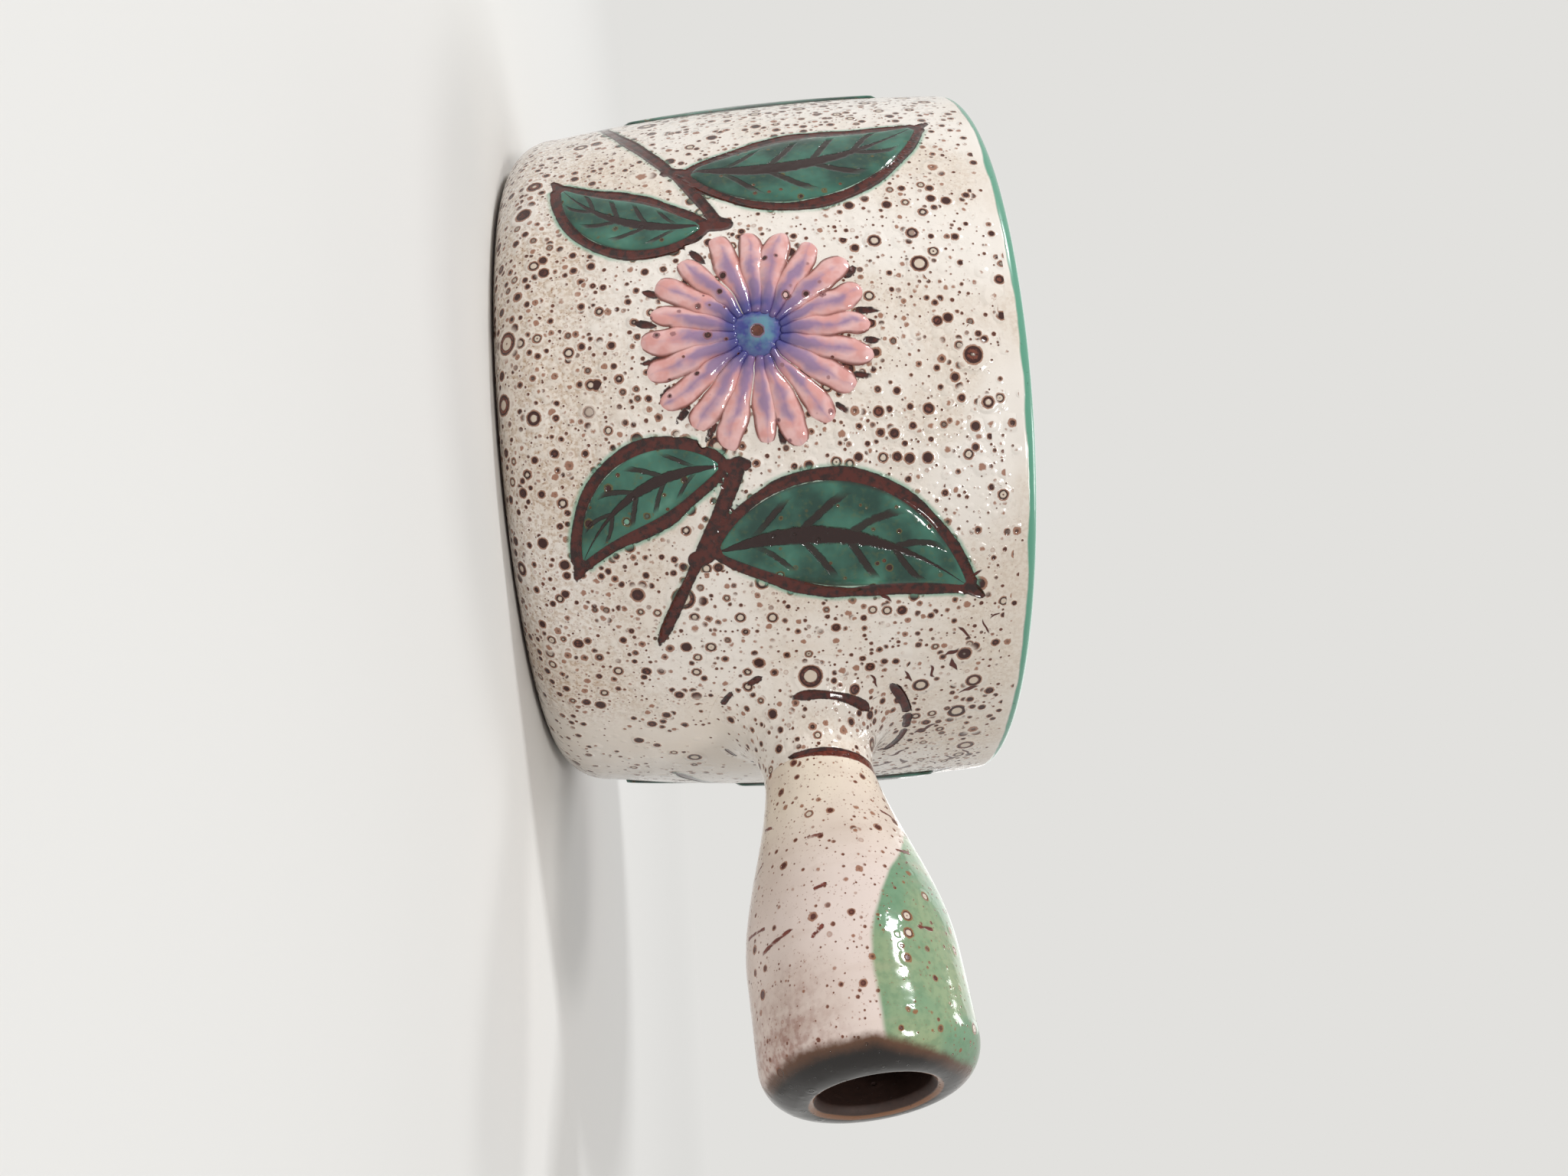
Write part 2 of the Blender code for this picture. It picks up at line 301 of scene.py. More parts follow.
def run_tree(name, tree, values, base=None):
    """A new mesh object made by a geometry tree, from an empty mesh or from a base mesh."""
    obj = put_object(name, base or bpy.data.meshes.new(name))
    modifier = obj.modifiers.new(tree.name, "NODES")
    modifier.node_group = tree
    for item in tree.interface.items_tree:
        if item.item_type == "SOCKET" and item.in_out == "INPUT" and item.name in values:
            modifier[item.identifier] = values[item.name]
    bpy.context.view_layer.update()
    evaluated = obj.evaluated_get(bpy.context.evaluated_depsgraph_get())
    made = bpy.data.meshes.new_from_object(evaluated)
    obj.modifiers.clear()
    obj.data = made
    made.name = name
    print(name, len(made.vertices), "points", len(made.polygons), "faces")
    return obj


def mesh_of(name, points, faces, **numbers):
    """A mesh from points in metres and faces, with numbers kept on its points."""
    mesh = bpy.data.meshes.new(name)
    mesh.from_pydata(points, [], faces)
    for label, values in numbers.items():
        mesh.attributes.new(label, "FLOAT", "POINT").data.foreach_set("value", values)
    return mesh


print("helpers for meshes ready")

# %% [markdown]
# ## The wheel
#
# A thrown pot is a profile carried round an axis. The tree below does the same: it takes a half
# section as a curve, samples it row by row, and turns each row round. It also keeps how far
# along the section each point lies, because the glazes change there: at the rim, inside, and
# at the bare foot. A thrown wall is never quite true, so a slow noise pushes it in and
# out by a fraction of a millimetre.

# %% A tree for turned pieces
SEAM_GAP = 0.000002
WOBBLE_SCALE = 22.0


def wheel_tree():
    bench, given = group_of("wheel", {
        "Section": "Object", "Steps": "Int", "Unevenness": "Float",
        "Location": "Vector", "Turn": "Rotation", "Material": "Material",
    })
    section = of_object(bench, given["Section"])
    rows = bench.node(
        "GeometryNodeAttributeDomainSize", {"component": "CURVE"}, [section], "Point Count"
    )
    size = {"Size X": 1.0, "Size Y": 1.0, "Vertices X": given["Steps"] + 1, "Vertices Y": rows}
    grid = bench.node("GeometryNodeMeshGrid", None, size, "Mesh")
    x, y, _ = bench.split(position(bench))
    row = ((y + 0.5) * (rows - 1)).math("ROUND")
    point = sampled(bench, section, position(bench), "FLOAT_VECTOR", row)
    measure = bench.node("GeometryNodeSplineParameter", None, None, "Length")
    length = sampled(bench, section, measure, "FLOAT", row)
    radius, _, height = bench.split(point)
    angle = (x + 0.5) * math.tau
    ring = bench.joined(radius * angle.math("COSINE"), radius * angle.math("SINE"), height)
    turned = moved(bench, stored(bench, grid, "section_mm", length * 1000.0), ring)
    seam = {"Geometry": turned, "Distance": SEAM_GAP}
    closed = bench.node("GeometryNodeMergeByDistance", None, seam)
    grain = {"Vector": position(bench), "Scale": WOBBLE_SCALE, "Detail": 1.0}
    wobble = bench.node("ShaderNodeTexNoise", None, grain)
    normal = bench.node("GeometryNodeInputNormal")
    x, y, _ = bench.split(bench.scaled(normal, (wobble - 0.5) * given["Unevenness"]))
    push = {"Geometry": closed, "Offset": bench.joined(x, y, 0.0)}
    uneven = smoothed(bench, bench.node("GeometryNodeSetPosition", None, push))
    place = {"Geometry": uneven, "Translation": given["Location"], "Rotation": given["Turn"]}
    finish_group(bench, bench.node("GeometryNodeTransform", None, place), given["Material"])
    return bench.tree


WHEEL = wheel_tree()
print("wheel tree:", len(WHEEL.nodes), "nodes")

# %% Half sections and turned pieces


def arc(centre, radius, start, end, spans):
    angles = [math.radians(start + (end - start) * i / spans) for i in range(spans + 1)]
    return [(centre[0] + radius * math.cos(a), centre[1] + radius * math.sin(a)) for a in angles]


def between(low, high, spans):
    """The values that part a range into equal spans, without its ends."""
    return [low + (high - low) * i / spans for i in range(1, spans)]


def section_length(points):
    return sum(math.dist(a, b) for a, b in zip(points, points[1:]))


def turned_piece(name, points, steps, unevenness, material, location=(0, 0, 0), turn=(0, 0, 0)):
    """A piece off the wheel. The points of its half section are (radius, height) in mm."""
    curve = bpy.data.curves.new(name + "_section", "CURVE")
    curve.dimensions = "3D"
    spline = curve.splines.new("POLY")
    spline.points.add(len(points) - 1)
    for place, (radius, height) in zip(spline.points, points):
        place.co = (radius * MM, 0.0, height * MM, 1.0)
    section = put_object(name + "_section", curve)
    piece = run_tree(name, WHEEL, {
        "Section": section, "Steps": steps, "Unevenness": unevenness * MM,
        "Location": [v * MM for v in location], "Turn": turn, "Material": material,
    })
    bpy.data.objects.remove(section)
    return piece


print("the wheel is ready to turn half sections")

# %% [markdown]
# ## The body's half section
#
# The section starts at the middle of the underside, goes out over the flat base, round the
# corner, up the belly, over the rounded lip, down the inside and across the floor. Where the bare
# clay ends and where the lip's crest lies are measured on it, for the glazes.

# %% Half section of the body
FOOT_RADIUS = wall_radius(BASE_CORNER) - BASE_CORNER
LIP = WALL_THICKNESS / 2.0
LIP_HEIGHT = PAN_HEIGHT - LIP
FLOOR_CORNER = FLOOR_THICKNESS + INNER_CORNER
CORNER_SPANS, WALL_SPANS, LIP_SPANS, INNER_SPANS, FLOOR_SPANS = 20, 102, 16, 22, 10

under = [(0.0, 0.0), (FOOT_RADIUS / 2.0, 0.0), (FOOT_RADIUS, 0.0)]
corner = arc((FOOT_RADIUS, BASE_CORNER), BASE_CORNER, -90.0, 0.0, CORNER_SPANS)
outside = [(wall_radius(z), z) for z in between(BASE_CORNER, LIP_HEIGHT, WALL_SPANS)]
lip = arc((wall_radius(LIP_HEIGHT) - LIP, LIP_HEIGHT), LIP, 0.0, 180.0, LIP_SPANS)
inner_heights = between(LIP_HEIGHT, FLOOR_CORNER, INNER_SPANS)
inside = [(wall_radius(z) - WALL_THICKNESS, z) for z in inner_heights]
floor_middle = (wall_radius(FLOOR_CORNER) - WALL_THICKNESS - INNER_CORNER, FLOOR_CORNER)
floor_arc = arc(floor_middle, INNER_CORNER, 0.0, -90.0, FLOOR_SPANS)
flat_floor = [(floor_arc[-1][0] * share, FLOOR_THICKNESS) for share in (0.75, 0.5, 0.25, 0.0)]
up_the_wall = under + corner[1:] + outside
body_section = up_the_wall + lip + inside + floor_arc + flat_floor
CORNER_START = section_length(under)
LIP_CREST = section_length(up_the_wall + lip[:LIP_SPANS // 2 + 1])
LIP_END = section_length(up_the_wall + lip)
print(len(body_section), "rows,", round(section_length(body_section), 1), "mm in all,")
print("crest of the lip at", round(LIP_CREST, 1), "mm")

# %% [markdown]
# ## The drawn lines
#
# On the real pan the drawing comes first: brown lines, a little sunk between the thick glazes.
# A line here is a row of close points on the wall, each with half a line's width. A finish later
# asks every point of the surface how far it is from the nearest of them. The design is a plain
# garland: a waving stem, round daisies on its crests, and smooth leaves.

# %% The garland's layout
BLOOMS = {"front": -60.0, "back": 60.0, "far": 180.0}
BETWEEN = {"front": -120.0, "back": 120.0}
BLOOM_HEIGHT = 50.0
PETAL_COUNT = 20
PETAL_TIP = 22.5
HEART_RADIUS = 5.2
STEM_MIDDLE = 36.0
STEM_SWING = 14.0
# distance along the wall, root height, length, half width, heading at the root and at the tip
TALL_LEAF = (40.0, 40.0, 54.0, 10.5, -17.0, 41.0)
SHORT_LEAF = (24.0, 41.5, 37.5, 6.5, 180.0, 115.0)
MIDDLE_LEAF = (0.0, 26.0, 60.5, 11.0, -15.0, 19.0)


def leaf_line(side, leaf):
    """Root, control point and tip of a leaf's centre line, as (along, height)."""
    points = [Vector(leaf[:2])]
    for heading in leaf[4:]:
        angle = math.radians(heading)
        points.append(points[-1] + Vector((math.sin(angle), math.cos(angle))) * leaf[2] / 2.0)
    return [Vector((side * point.x, point.y)) for point in points]


def leaf_place(line, leaf, share, across):
    """The point at a share of a leaf's length and across it, where -1 and 1 are its edges."""
    root, control, tip = line
    centre = root.lerp(control, share).lerp(control.lerp(tip, share), share)
    step = (control - root).lerp(tip - control, share)
    inside_leaf = 0.0 < share < 1.0
    width = leaf[3] * math.sin(math.pi * max(share, 0.0) ** 0.85) ** 0.9 if inside_leaf else 0.0
    return centre + Vector((step.y, -step.x)).normalized() * max(width, 0.3) * across


leaves = {}
for place, azimuth in BLOOMS.items():
    for side, word in ((-1, "left"), (1, "right")):
        leaves[f"{place}_tall_leaf_{word}"] = (azimuth, side, TALL_LEAF)
        leaves[f"{place}_short_leaf_{word}"] = (azimuth, side, SHORT_LEAF)
for place, azimuth in BETWEEN.items():
    leaves[f"{place}_middle_leaf"] = (azimuth, 1 if azimuth < 0.0 else -1, MIDDLE_LEAF)
print(len(leaves), "leaves,", len(BLOOMS), "blooms")

# %% A pen that draws rows of points
LINE_STEP = 0.4
HALF_LINE = 1.25
hand = random.Random(7)
line_points = []
line_halves = []
line_tints = []


def on_wall(azimuth, along, height):
    """A point on the wall in mm, at a distance along it from an azimuth in degrees."""
    angle = math.radians(azimuth) + along / RIM_RADIUS
    radius = wall_radius(height)
    return Vector((radius * math.cos(angle), radius * math.sin(angle), height))


def draw(place_at, length, half_width, tapers=(0.0, 0.0), tint=0.0):
    """Draws a line. place_at gives its points, and tint says how far green runs over it."""
    steps = max(2, int(length / LINE_STEP))
    phase = hand.uniform(0.0, math.tau)
    for i in range(steps + 1):
        share = i / steps
        slow_wave = 0.16 * math.sin(phase + share * length / 5.5)
        wave = 1.0 + slow_wave + 0.08 * math.sin(share * length / 1.9)
        width = half_width * wave
        ends = [way / taper if taper else 1.0 for way, taper in zip((share, 1.0 - share), tapers)]
        line_points.append(place_at(share))
        line_halves.append(width * min(1.0, *[end**0.6 for end in ends]))
        line_tints.append(tint)


print("the pen sets a point every", LINE_STEP, "mm")

# %% The stem and the leaves' edges
STEM_SPANS = ((17.0, 43.0), (77.0, 163.0), (197.0, 283.0), (317.0, 343.0))
STEM_TINT = 0.5
EDGE_GAP = 0.75
STALK_LENGTH = 4.5
POINT_LENGTH = 5.0


def draw_stems():
    """The stem runs from bloom to bloom and stops short on both sides of the handle."""
    for number, (start, end) in enumerate(STEM_SPANS):
        def at(share, start=start, end=end):
            azimuth = start + (end - start) * share
            wave = math.cos(3.0 * math.radians(azimuth - 60.0))
            return on_wall(azimuth, 0.0, STEM_MIDDLE + STEM_SWING * wave)
        first, last = number == 0, number == len(STEM_SPANS) - 1
        tapers = (0.12 if first else 0.0, 0.12 if last else 0.0)
        draw(at, math.radians(end - start) * RIM_RADIUS, HALF_LINE, tapers, STEM_TINT)


def draw_leaf(azimuth, side, leaf):
    """Both edges of a leaf, drawn just outside it, the short stalk and the point at its tip."""
    line = leaf_line(side, leaf)
    for across in (-1.0, 1.0):
        def at(share, across=across):
            place = leaf_place(line, leaf, share, across)
            out = (place - leaf_place(line, leaf, share, 0.0)).normalized() * EDGE_GAP
            return on_wall(azimuth, *(place + out))
        draw(at, leaf[2] * 1.08, HALF_LINE * 0.95, tint=1.0)
    root, control, tip = line
    back = (root - control).normalized() * STALK_LENGTH
    ahead = (tip - control).normalized() * POINT_LENGTH

    def stalk(share):
        return on_wall(azimuth, *(root + back * share))

    def point(share):
        return on_wall(azimuth, *(tip + ahead * share))

    draw(stalk, STALK_LENGTH, HALF_LINE)
    draw(point, POINT_LENGTH, HALF_LINE, (0.0, 0.9))


draw_stems()
for azimuth, side, leaf in leaves.values():
    draw_leaf(azimuth, side, leaf)
print(len(line_points), "points for the stem and the leaves")

# %% Strokes between the petals' tips
STROKE_HALF = 0.66
SHARE_LEFT_OUT = 0.3


def draw_bloom(azimuth):
    """Thin strokes between the petals' tips, some of them left out as a quick hand does."""
    for i in range(PETAL_COUNT):
        if hand.random() < SHARE_LEFT_OUT:
            continue
        angle = math.tau * (i + 0.5 + hand.uniform(-0.12, 0.12)) / PETAL_COUNT
        inner, outer = hand.uniform(17.0, 19.5), hand.uniform(21.5, 24.0)
        lean = hand.uniform(-0.07, 0.07)
        def at(share, angle=angle, inner=inner, outer=outer, lean=lean):
            way = angle + lean * share
            reach = inner + (outer - inner) * share
            return on_wall(azimuth, reach * math.sin(way), BLOOM_HEIGHT + reach * math.cos(way))
        draw(at, outer - inner, STROKE_HALF, (0.3, 0.4))


for azimuth in BLOOMS.values():
    draw_bloom(azimuth)
print(len(line_points), "line points on the wall")

# %% [markdown]
# Round the root of the handle the decorator drew broken arcs: one on the neck, one on the
# shoulder of the collar, and a few strokes where the collar runs into the wall. They are placed
# in the handle's own frame: a distance from its axis, a direction round it and a height along it.

# %% Places on the collar and on the handle
HANDLE_FRAME = Matrix.LocRotScale(HANDLE_ROOT, None, None) @ Matrix.Rotation(HANDLE_TURN[1], 4, "Y")
COLLAR_EDGE = 20.8
COLLAR_TOP = 13.0
COLLAR_NECK = grip_radius(COLLAR_TOP) + 0.04


def flare(share):
    """Distance from the handle's axis and height off the wall: 0 at the wall, 1 on the neck."""
    quarter = share * math.pi / 2.0
    reach = COLLAR_EDGE - (COLLAR_EDGE - COLLAR_NECK) * math.sin(quarter)
    return reach, COLLAR_TOP * (1.0 - math.cos(quarter))


def on_flare(share, turn, lift=0.0, radius=None):
    """A point on the collar in mm. turn is 0 towards the rim, and grows towards +Y."""
    reach, rise = flare(share)
    reach = radius or reach
    angle, tilt = math.radians(turn), math.radians(HANDLE_TILT)
    across, up = reach * math.sin(angle), reach * math.cos(angle)
    height = HANDLE_HEIGHT + up
    out = math.sqrt(wall_radius(height) ** 2 - across**2)
    # higher up, the collar leaves the wall's round and gathers into a true circle on the neck
    level = HANDLE_ROOT.x - up * math.tan(tilt)
    out += (level - out) * share**2
    rise += lift
    return Vector((out + rise * math.cos(tilt), across, height + rise * math.sin(tilt)))


def on_handle(along, turn):
    angle = math.radians(turn)
    radius = grip_radius(along)
    return HANDLE_FRAME @ Vector((-radius * math.cos(angle), radius * math.sin(angle), along))


print("radius of the collar's edge:", COLLAR_EDGE, "mm")

# %% Arcs round the handle's root and dashes on the grip
# share of the flare, start and end round it on one side, half width
COLLAR_ARCS = (
    (0.46, 36.0, 108.0, 1.05),
    (0.05, -8.0, 38.0, 0.95),
    (0.1, 142.0, 156.0, 0.6),
    (0.15, 120.0, 132.0, 0.55),
)
NECK_RING = 14.6
DASH_COUNT = 24
DASH_HALF = 0.33


def draw_arc(share, start, end, half_width):
    length = flare(share)[0] * math.radians(abs(end - start))
    draw(lambda s: on_flare(share, start + (end - start) * s), length, half_width, (0.12, 0.15))


def draw_ring(along, slope, start, end, half_width):
    length = grip_radius(along) * math.radians(abs(end - start))
    draw(
        lambda s: on_handle(along + slope * s, start + (end - start) * s),
        length, half_width, (0.08, 0.1),
    )


for side in (-1.0, 1.0):
    draw_ring(NECK_RING, -2.0, side * 4.0, side * 126.0, 1.0)
    for share, start, end, half_width in COLLAR_ARCS:
        draw_arc(share, side * start, side * end, half_width)
# these two steps spread the short dashes evenly over the handle, so that none of them crowd
for number in range(DASH_COUNT):
    along = 24.0 + 36.0 * (number * 0.7549 % 1.0) + hand.uniform(-1.5, 1.5)
    turn = 360.0 * (number * 0.5698 % 1.0) + hand.uniform(-10.0, 10.0)
    draw_ring(along, hand.uniform(-2.0, 2.0), turn, turn + hand.uniform(8.0, 28.0), DASH_HALF)

line_places = [point * MM for point in line_points]
lines_mesh = mesh_of("drawn_lines", line_places, [], half_mm=line_halves, tint=line_tints)
drawn_lines = put_object("drawn_lines", lines_mesh)
print(len(line_points), "line points in all")

# %% [markdown]
# The tree below is the asking: for each point of a piece it finds the nearest line point, and
# keeps the distance to it less the line's half width. Where that is below zero there is brown
# line. A distance changes smoothly, so a fairly coarse mesh carries a crisp line.

# %% A tree that measures the distance to the lines


def line_tree():
    bench, given = group_of("distance_to_lines", {
        "Geometry": "Geometry", "Lines": "Object", "Material": "Material",
    })
    lines = of_object(bench, given["Lines"])
    nearest = bench.node("GeometryNodeSampleNearest", {"domain": "POINT"}, {"Geometry": lines})

    def kept(name):
        settings = {"data_type": "FLOAT"}
        field = bench.node("GeometryNodeInputNamedAttribute", settings, {"Name": name})
        return sampled(bench, lines, field, "FLOAT", nearest)

    here = position(bench)
    there = sampled(bench, lines, here, "FLOAT_VECTOR", nearest)
    distance = bench.vector("DISTANCE", here, there, out="Value")
    marked = stored(bench, given["Geometry"], "line_mm", distance * 1000.0 - kept("half_mm"))
    marked = stored(bench, marked, "line_tint", kept("tint"))
    finish_group(bench, marked, given["Material"])
    return bench.tree


DISTANCE_TO_LINES = line_tree()
print("line tree:", len(DISTANCE_TO_LINES.nodes), "nodes")


def with_lines(piece, material):
    """The piece again, with its distance to the drawn lines kept on its points."""
    name = piece.name
    piece.name = name + "_plain"
    values = {"Lines": drawn_lines, "Material": material}
    marked = run_tree(name, DISTANCE_TO_LINES, values, piece.data)
    bpy.data.objects.remove(piece)
    marked.name = name
    return marked


# %% [markdown]
# ## The crater glaze
#
# A thick cream glaze over an iron slip boils in the kiln: bubbles burst, the slip shows through,
# and each burst heals into a round crater with a ragged brown edge. Craters come in a few sizes
# at once. Each size is a layer of a Voronoi texture, whose cells give a distance to
# the crater's middle and a random number for its presence and its size. Because the
# cells fill space and the wall cuts through them, no two craters come out alike.

# %% Helpers for finishes


def new_finish(name):
    """A material, its bench and its principled shader, on an empty tree."""
    material = bpy.data.materials.new(name)
    material.use_nodes = True
    tree = material.node_tree
    tree.nodes.clear()
    shader = tree.nodes.new("ShaderNodeBsdfPrincipled")
    end = tree.nodes.new("ShaderNodeOutputMaterial")
    tree.links.new(shader.outputs["BSDF"], end.inputs["Surface"])
    return material, Bench(tree), shader


def millimetres(bench):
    """The place on the piece in millimetres."""
    return bench.scaled(bench.node("ShaderNodeTexCoord", None, None, "Object"), 1000.0)


def noise(bench, place, grain, detail=2.0, shift=0.0):
    """Soft noise from 0 to 1 whose features are about grain millimetres across."""
    where = bench.vector("ADD", place, (shift, shift * 0.7, -shift))
    sockets = {"Vector": where, "Scale": 1.0 / grain, "Detail": detail}
    return bench.node("ShaderNodeTexNoise", None, sockets)


def stretched_noise(bench, place, stretch, grain, detail, shift):
    return noise(bench, bench.vector("MULTIPLY", place, stretch), grain, detail, shift)


def cells(bench, place, spacing, kind, randomness):
    """Distance to the middle of the nearest cell, in spacings, and three random numbers."""
    sockets = {"Vector": place, "Scale": 1.0 / spacing, "Randomness": randomness}
    settings = {"voronoi_dimensions": kind}
    distance, chance = bench.node("ShaderNodeTexVoronoi", settings, sockets, ("Distance", "Color"))
    channels = ("Red", "Green", "Blue")
    return distance, *bench.node("ShaderNodeSeparateColor", None, [chance], channels)


def attribute(bench, name):
    return bench.node("ShaderNodeAttribute", {"attribute_name": name}, None, "Fac")


def set_surface(bench, shader, colour, roughness, height):
    """Wires the finish: colour, roughness, and a height in mm through a Bump node."""
    bump = bench.node("ShaderNodeBump", None, {"Strength": 1.0, "Distance": MM, "Height": height})
    for label, wire in (("Base Color", colour), ("Roughness", roughness), ("Normal", bump)):
        bench.tree.links.new(wire.socket, shader.inputs[label])


print("helpers for finishes ready")

# %% One size of crater


def craters(bench, place, ragged, spacing, smallest, largest, share, shift):
    """One size of crater: its masks as a dictionary, each from 0 to 1, and its radius in mm."""
    where = bench.vector("ADD", place, (shift, -shift * 0.6, shift * 0.8))
    distance, present, size, kind = cells(bench, where, spacing, "3D", 0.75)
    radius = (size.power(1.5) * (largest - smallest) + smallest) * present.math("LESS_THAN", share)
    there = radius.over(0.03, 0.08)
    tooth = (ragged - 0.5) * min(0.42, largest * 0.4)
    edge = distance * spacing - radius
    inset = edge + (radius * 0.32).at_most(0.26) + tooth * 0.35
    # the large ones and some of the middling ones healed over, and a few small ones stayed shallow
    healed = kind.math("GREATER_THAN", 0.6).at_least(radius.over(1.3, 1.45))
    healed = healed * radius.over(0.7, 0.9)
    deep = kind.over(0.1, 0.3).at_least(radius.over(0.45, 0.7))
    middle = (edge + radius * 0.44 + tooth * 0.6).over(0.1, -0.1) * healed
    dot = (edge + radius * 0.86).over(0.08, -0.08) * kind.math("GREATER_THAN", 0.78)
    light = kind * inset.over(0.0, -0.5) * ragged.over(0.3, 0.6)
    return {
        "hole": inset.over(0.08, -0.08) * deep * there,
        "pale": (edge + radius * 0.3 + tooth * 0.3).over(0.08, -0.08) * (1.0 - deep) * there,
        "fringe": (edge + tooth).over(0.12, -0.06) * (deep * 0.4 + 0.6) * there,
        "bank": edge.over(radius * 0.7 + 0.12, 0.0) * there,
        "middle": middle * (1.0 - dot) * there,
        "light": light.at_least(radius.over(0.62, 0.3) * 0.6) * there,
        "radius": radius,
    }


print("one crater size is ready to be layered")

# %% [markdown]
# The glaze itself is put together from those sizes, the largest first, and each leaves the banks
# of the larger ones free. The large ones have healed over, so that a ring with a cream
# middle is left.

# %% Layers of craters
CREAM = rgb(234, 227, 219)
CREAM_WARM = rgb(217, 202, 184)
CRATER_DARK = rgb(56, 18, 12)
CRATER_RED = rgb(116, 62, 46)
FRINGE = rgb(140, 80, 44)
RAGGED_GRAIN = 0.62


def crater_field(bench, place, sizes, crowd):
    """All crater sizes together. crowd is a wire or a number that multiplies each size's share."""
    ragged = noise(bench, place, RAGGED_GRAIN)
    field = None
    for spacing, smallest, largest, share, shift in sizes:
        layer = craters(bench, place, ragged, spacing, smallest, largest, crowd * share, shift)
        heap = layer["bank"] * layer["radius"]
        if field is None:
            field = dict(layer, heap=heap, light=layer["light"] * layer["hole"])
            continue
        free = 1.0 - field["bank"]
        for part in ("hole", "fringe", "middle", "pale"):
            field[part] = field[part].at_least(layer[part] * free)
        field["light"] = field["light"].at_least(layer["light"] * layer["hole"] * free)
        field["heap"] = field["heap"] + heap * free
        field["bank"] = field["bank"].at_least(layer["bank"])
    return field


def over_craters(bench, ground, field, fringe=FRINGE, healed=CREAM_WARM, dark=CRATER_DARK):
    """Lays fringe, dark hole and healed middle over a ground colour."""
    ringed = bench.blend(field["fringe"] * 0.85, ground, fringe)
    hole = bench.blend(field["light"].over(0.15, 0.55), dark, CRATER_RED)
    ringed = bench.blend(field["pale"] * 0.6, ringed, ground)
    holed = bench.blend(field["hole"], ringed, hole)
    return bench.blend(field["middle"] * 0.9, holed, healed)


print("layers of craters ready")

# %% [markdown]
# The brown drawing lies between the glazes. The long lines come from the distances kept on the
# mesh. The short dashes behind the handle are thinner than the mesh's own steps, so the
# finish draws them: cells squeezed along one direction give long thin spots, which a noise bends.

# %% The drawing's brown, and dashes as thin as half a millimetre
LINE_BROWN = rgb(80, 26, 16)
LINE_DARK = rgb(38, 12, 8)
DASH_SQUEEZE = 0.17
DASH_SPACING = 4.6
DASH_BEND = 4.0


def line_colour(bench, line, fine, edge=LINE_DARK):
    """Brown of a drawn line: dark at its edges, redder in its middle, which is partly the slip's
    own colour and partly a painted highlight along the line.
    """
    return bench.blend(line.over(0.05, -0.3) * fine.over(0.32, 0.6), edge, LINE_BROWN)


def dashes(bench, place, heading, shift):
    """Short quick strokes of the brush on the wall behind the handle."""
    x, y, height = bench.split(place)
    bend = (noise(bench, place, 4.5, 1.0, shift) - 0.5) * DASH_BEND
    angle = math.radians(heading)
    along = y * math.sin(angle) + height * math.cos(angle) + shift
    across = y * math.cos(angle) - height * math.sin(angle) + bend
    squeezed = bench.joined(along * DASH_SQUEEZE, across, 0.0)
    distance, present, size, _ = cells(bench, squeezed, DASH_SPACING, "2D", 0.9)
    radius = bench.vector("LENGTH", bench.joined(x, y, 0.0), out="Value")
    near = height.over(65.0, 70.0) * height.over(94.0, 91.0) * y.size().over(44.0, 36.0)
    near = near * x.over(0.0, 1.0)
    width = (size * 0.2 + 0.26) * near * radius.over(83.0, 82.0) * present.math("LESS_THAN", 0.75)
    return (width - distance * DASH_SPACING).over(-0.05, 0.07) * width.over(0.08, 0.16)


print("brown of the drawing ready")

# %% [markdown]
# ## The body's finish
#
# Near the foot the craters crowd into a brown haze, and under the rim the glaze stays clean. A
# green line runs round the rim and goes over into the green inside. The underside is bare clay
# with the arcs of the wire that cut the pan from the wheel.

# %% Where the wall's glaze is clean and where it is crowded
# spacing, smallest and largest radius in mm, share of the cells that hold one, and a shift
WALL_CRATERS = (
    (8.0, 1.2, 2.5, 0.66, 3.0),
    (3.1, 0.68, 1.2, 0.92, 41.0),
    (2.3, 0.4, 0.78, 1.0, 77.0),
    (1.8, 0.24, 0.48, 1.0, 17.0),
    (1.25, 0.13, 0.26, 0.9, 63.0),
)
HAZE_TOP, HAZE_FULL = 38.0, 4.0


def grains(bench, place):
    """The three noises that a finish uses more than once."""
    slow = noise(bench, place, 24.0, 3.0, 9.0)
    return slow, noise(bench, place, 1.3, 2.0, 5.0), noise(bench, place, 0.42, 1.0, 19.0)


def wall_state(bench, place, section, slow):
    """How clean the glaze is and how crowded with craters, each about 0 to 1."""
    x, y, height = bench.split(place)
    crowded = (height.over(HAZE_TOP, HAZE_FULL) * 0.8 + slow.over(0.46, 0.66) * 0.35).at_most(1.0)
    crest = LIP_CREST - section
    clean = crest.over(4.0, 9.0) * (1.0 - crest.over(30.0, 8.0) * 0.25) * (crowded * 0.2 + 0.95)
    # behind the handle's root, low on the wall, the glaze ran thick and few bubbles broke
    azimuth = y.math("ARCTAN2", x) * (180.0 / math.pi) + (slow - 0.5) * 24.0
    thick_run = azimuth.over(-7.0, 3.0) * azimuth.over(46.0, 34.0) * height.over(60.0, 44.0)
    return clean * (1.0 - thick_run * 0.75), crowded * (1.0 - thick_run)


print(len(WALL_CRATERS), "sizes of crater on the wall")

# %% Colours of the wall, the inside and the underside
HAZE = rgb(168, 134, 100)
SPECK = rgb(128, 84, 60)
TEAL_PALE = rgb(116, 168, 146)
TEAL = rgb(60, 112, 95)
TEAL_DEEP = rgb(28, 64, 54)
RIM_GREEN = rgb(88, 150, 126)
INNER_GREEN = rgb(74, 138, 118)
POOL_GREEN = rgb(40, 98, 84)
CLAY = rgb(150, 88, 62)
CLAY_DARK = rgb(112, 64, 46)
CLAY_PALE = rgb(170, 108, 78)


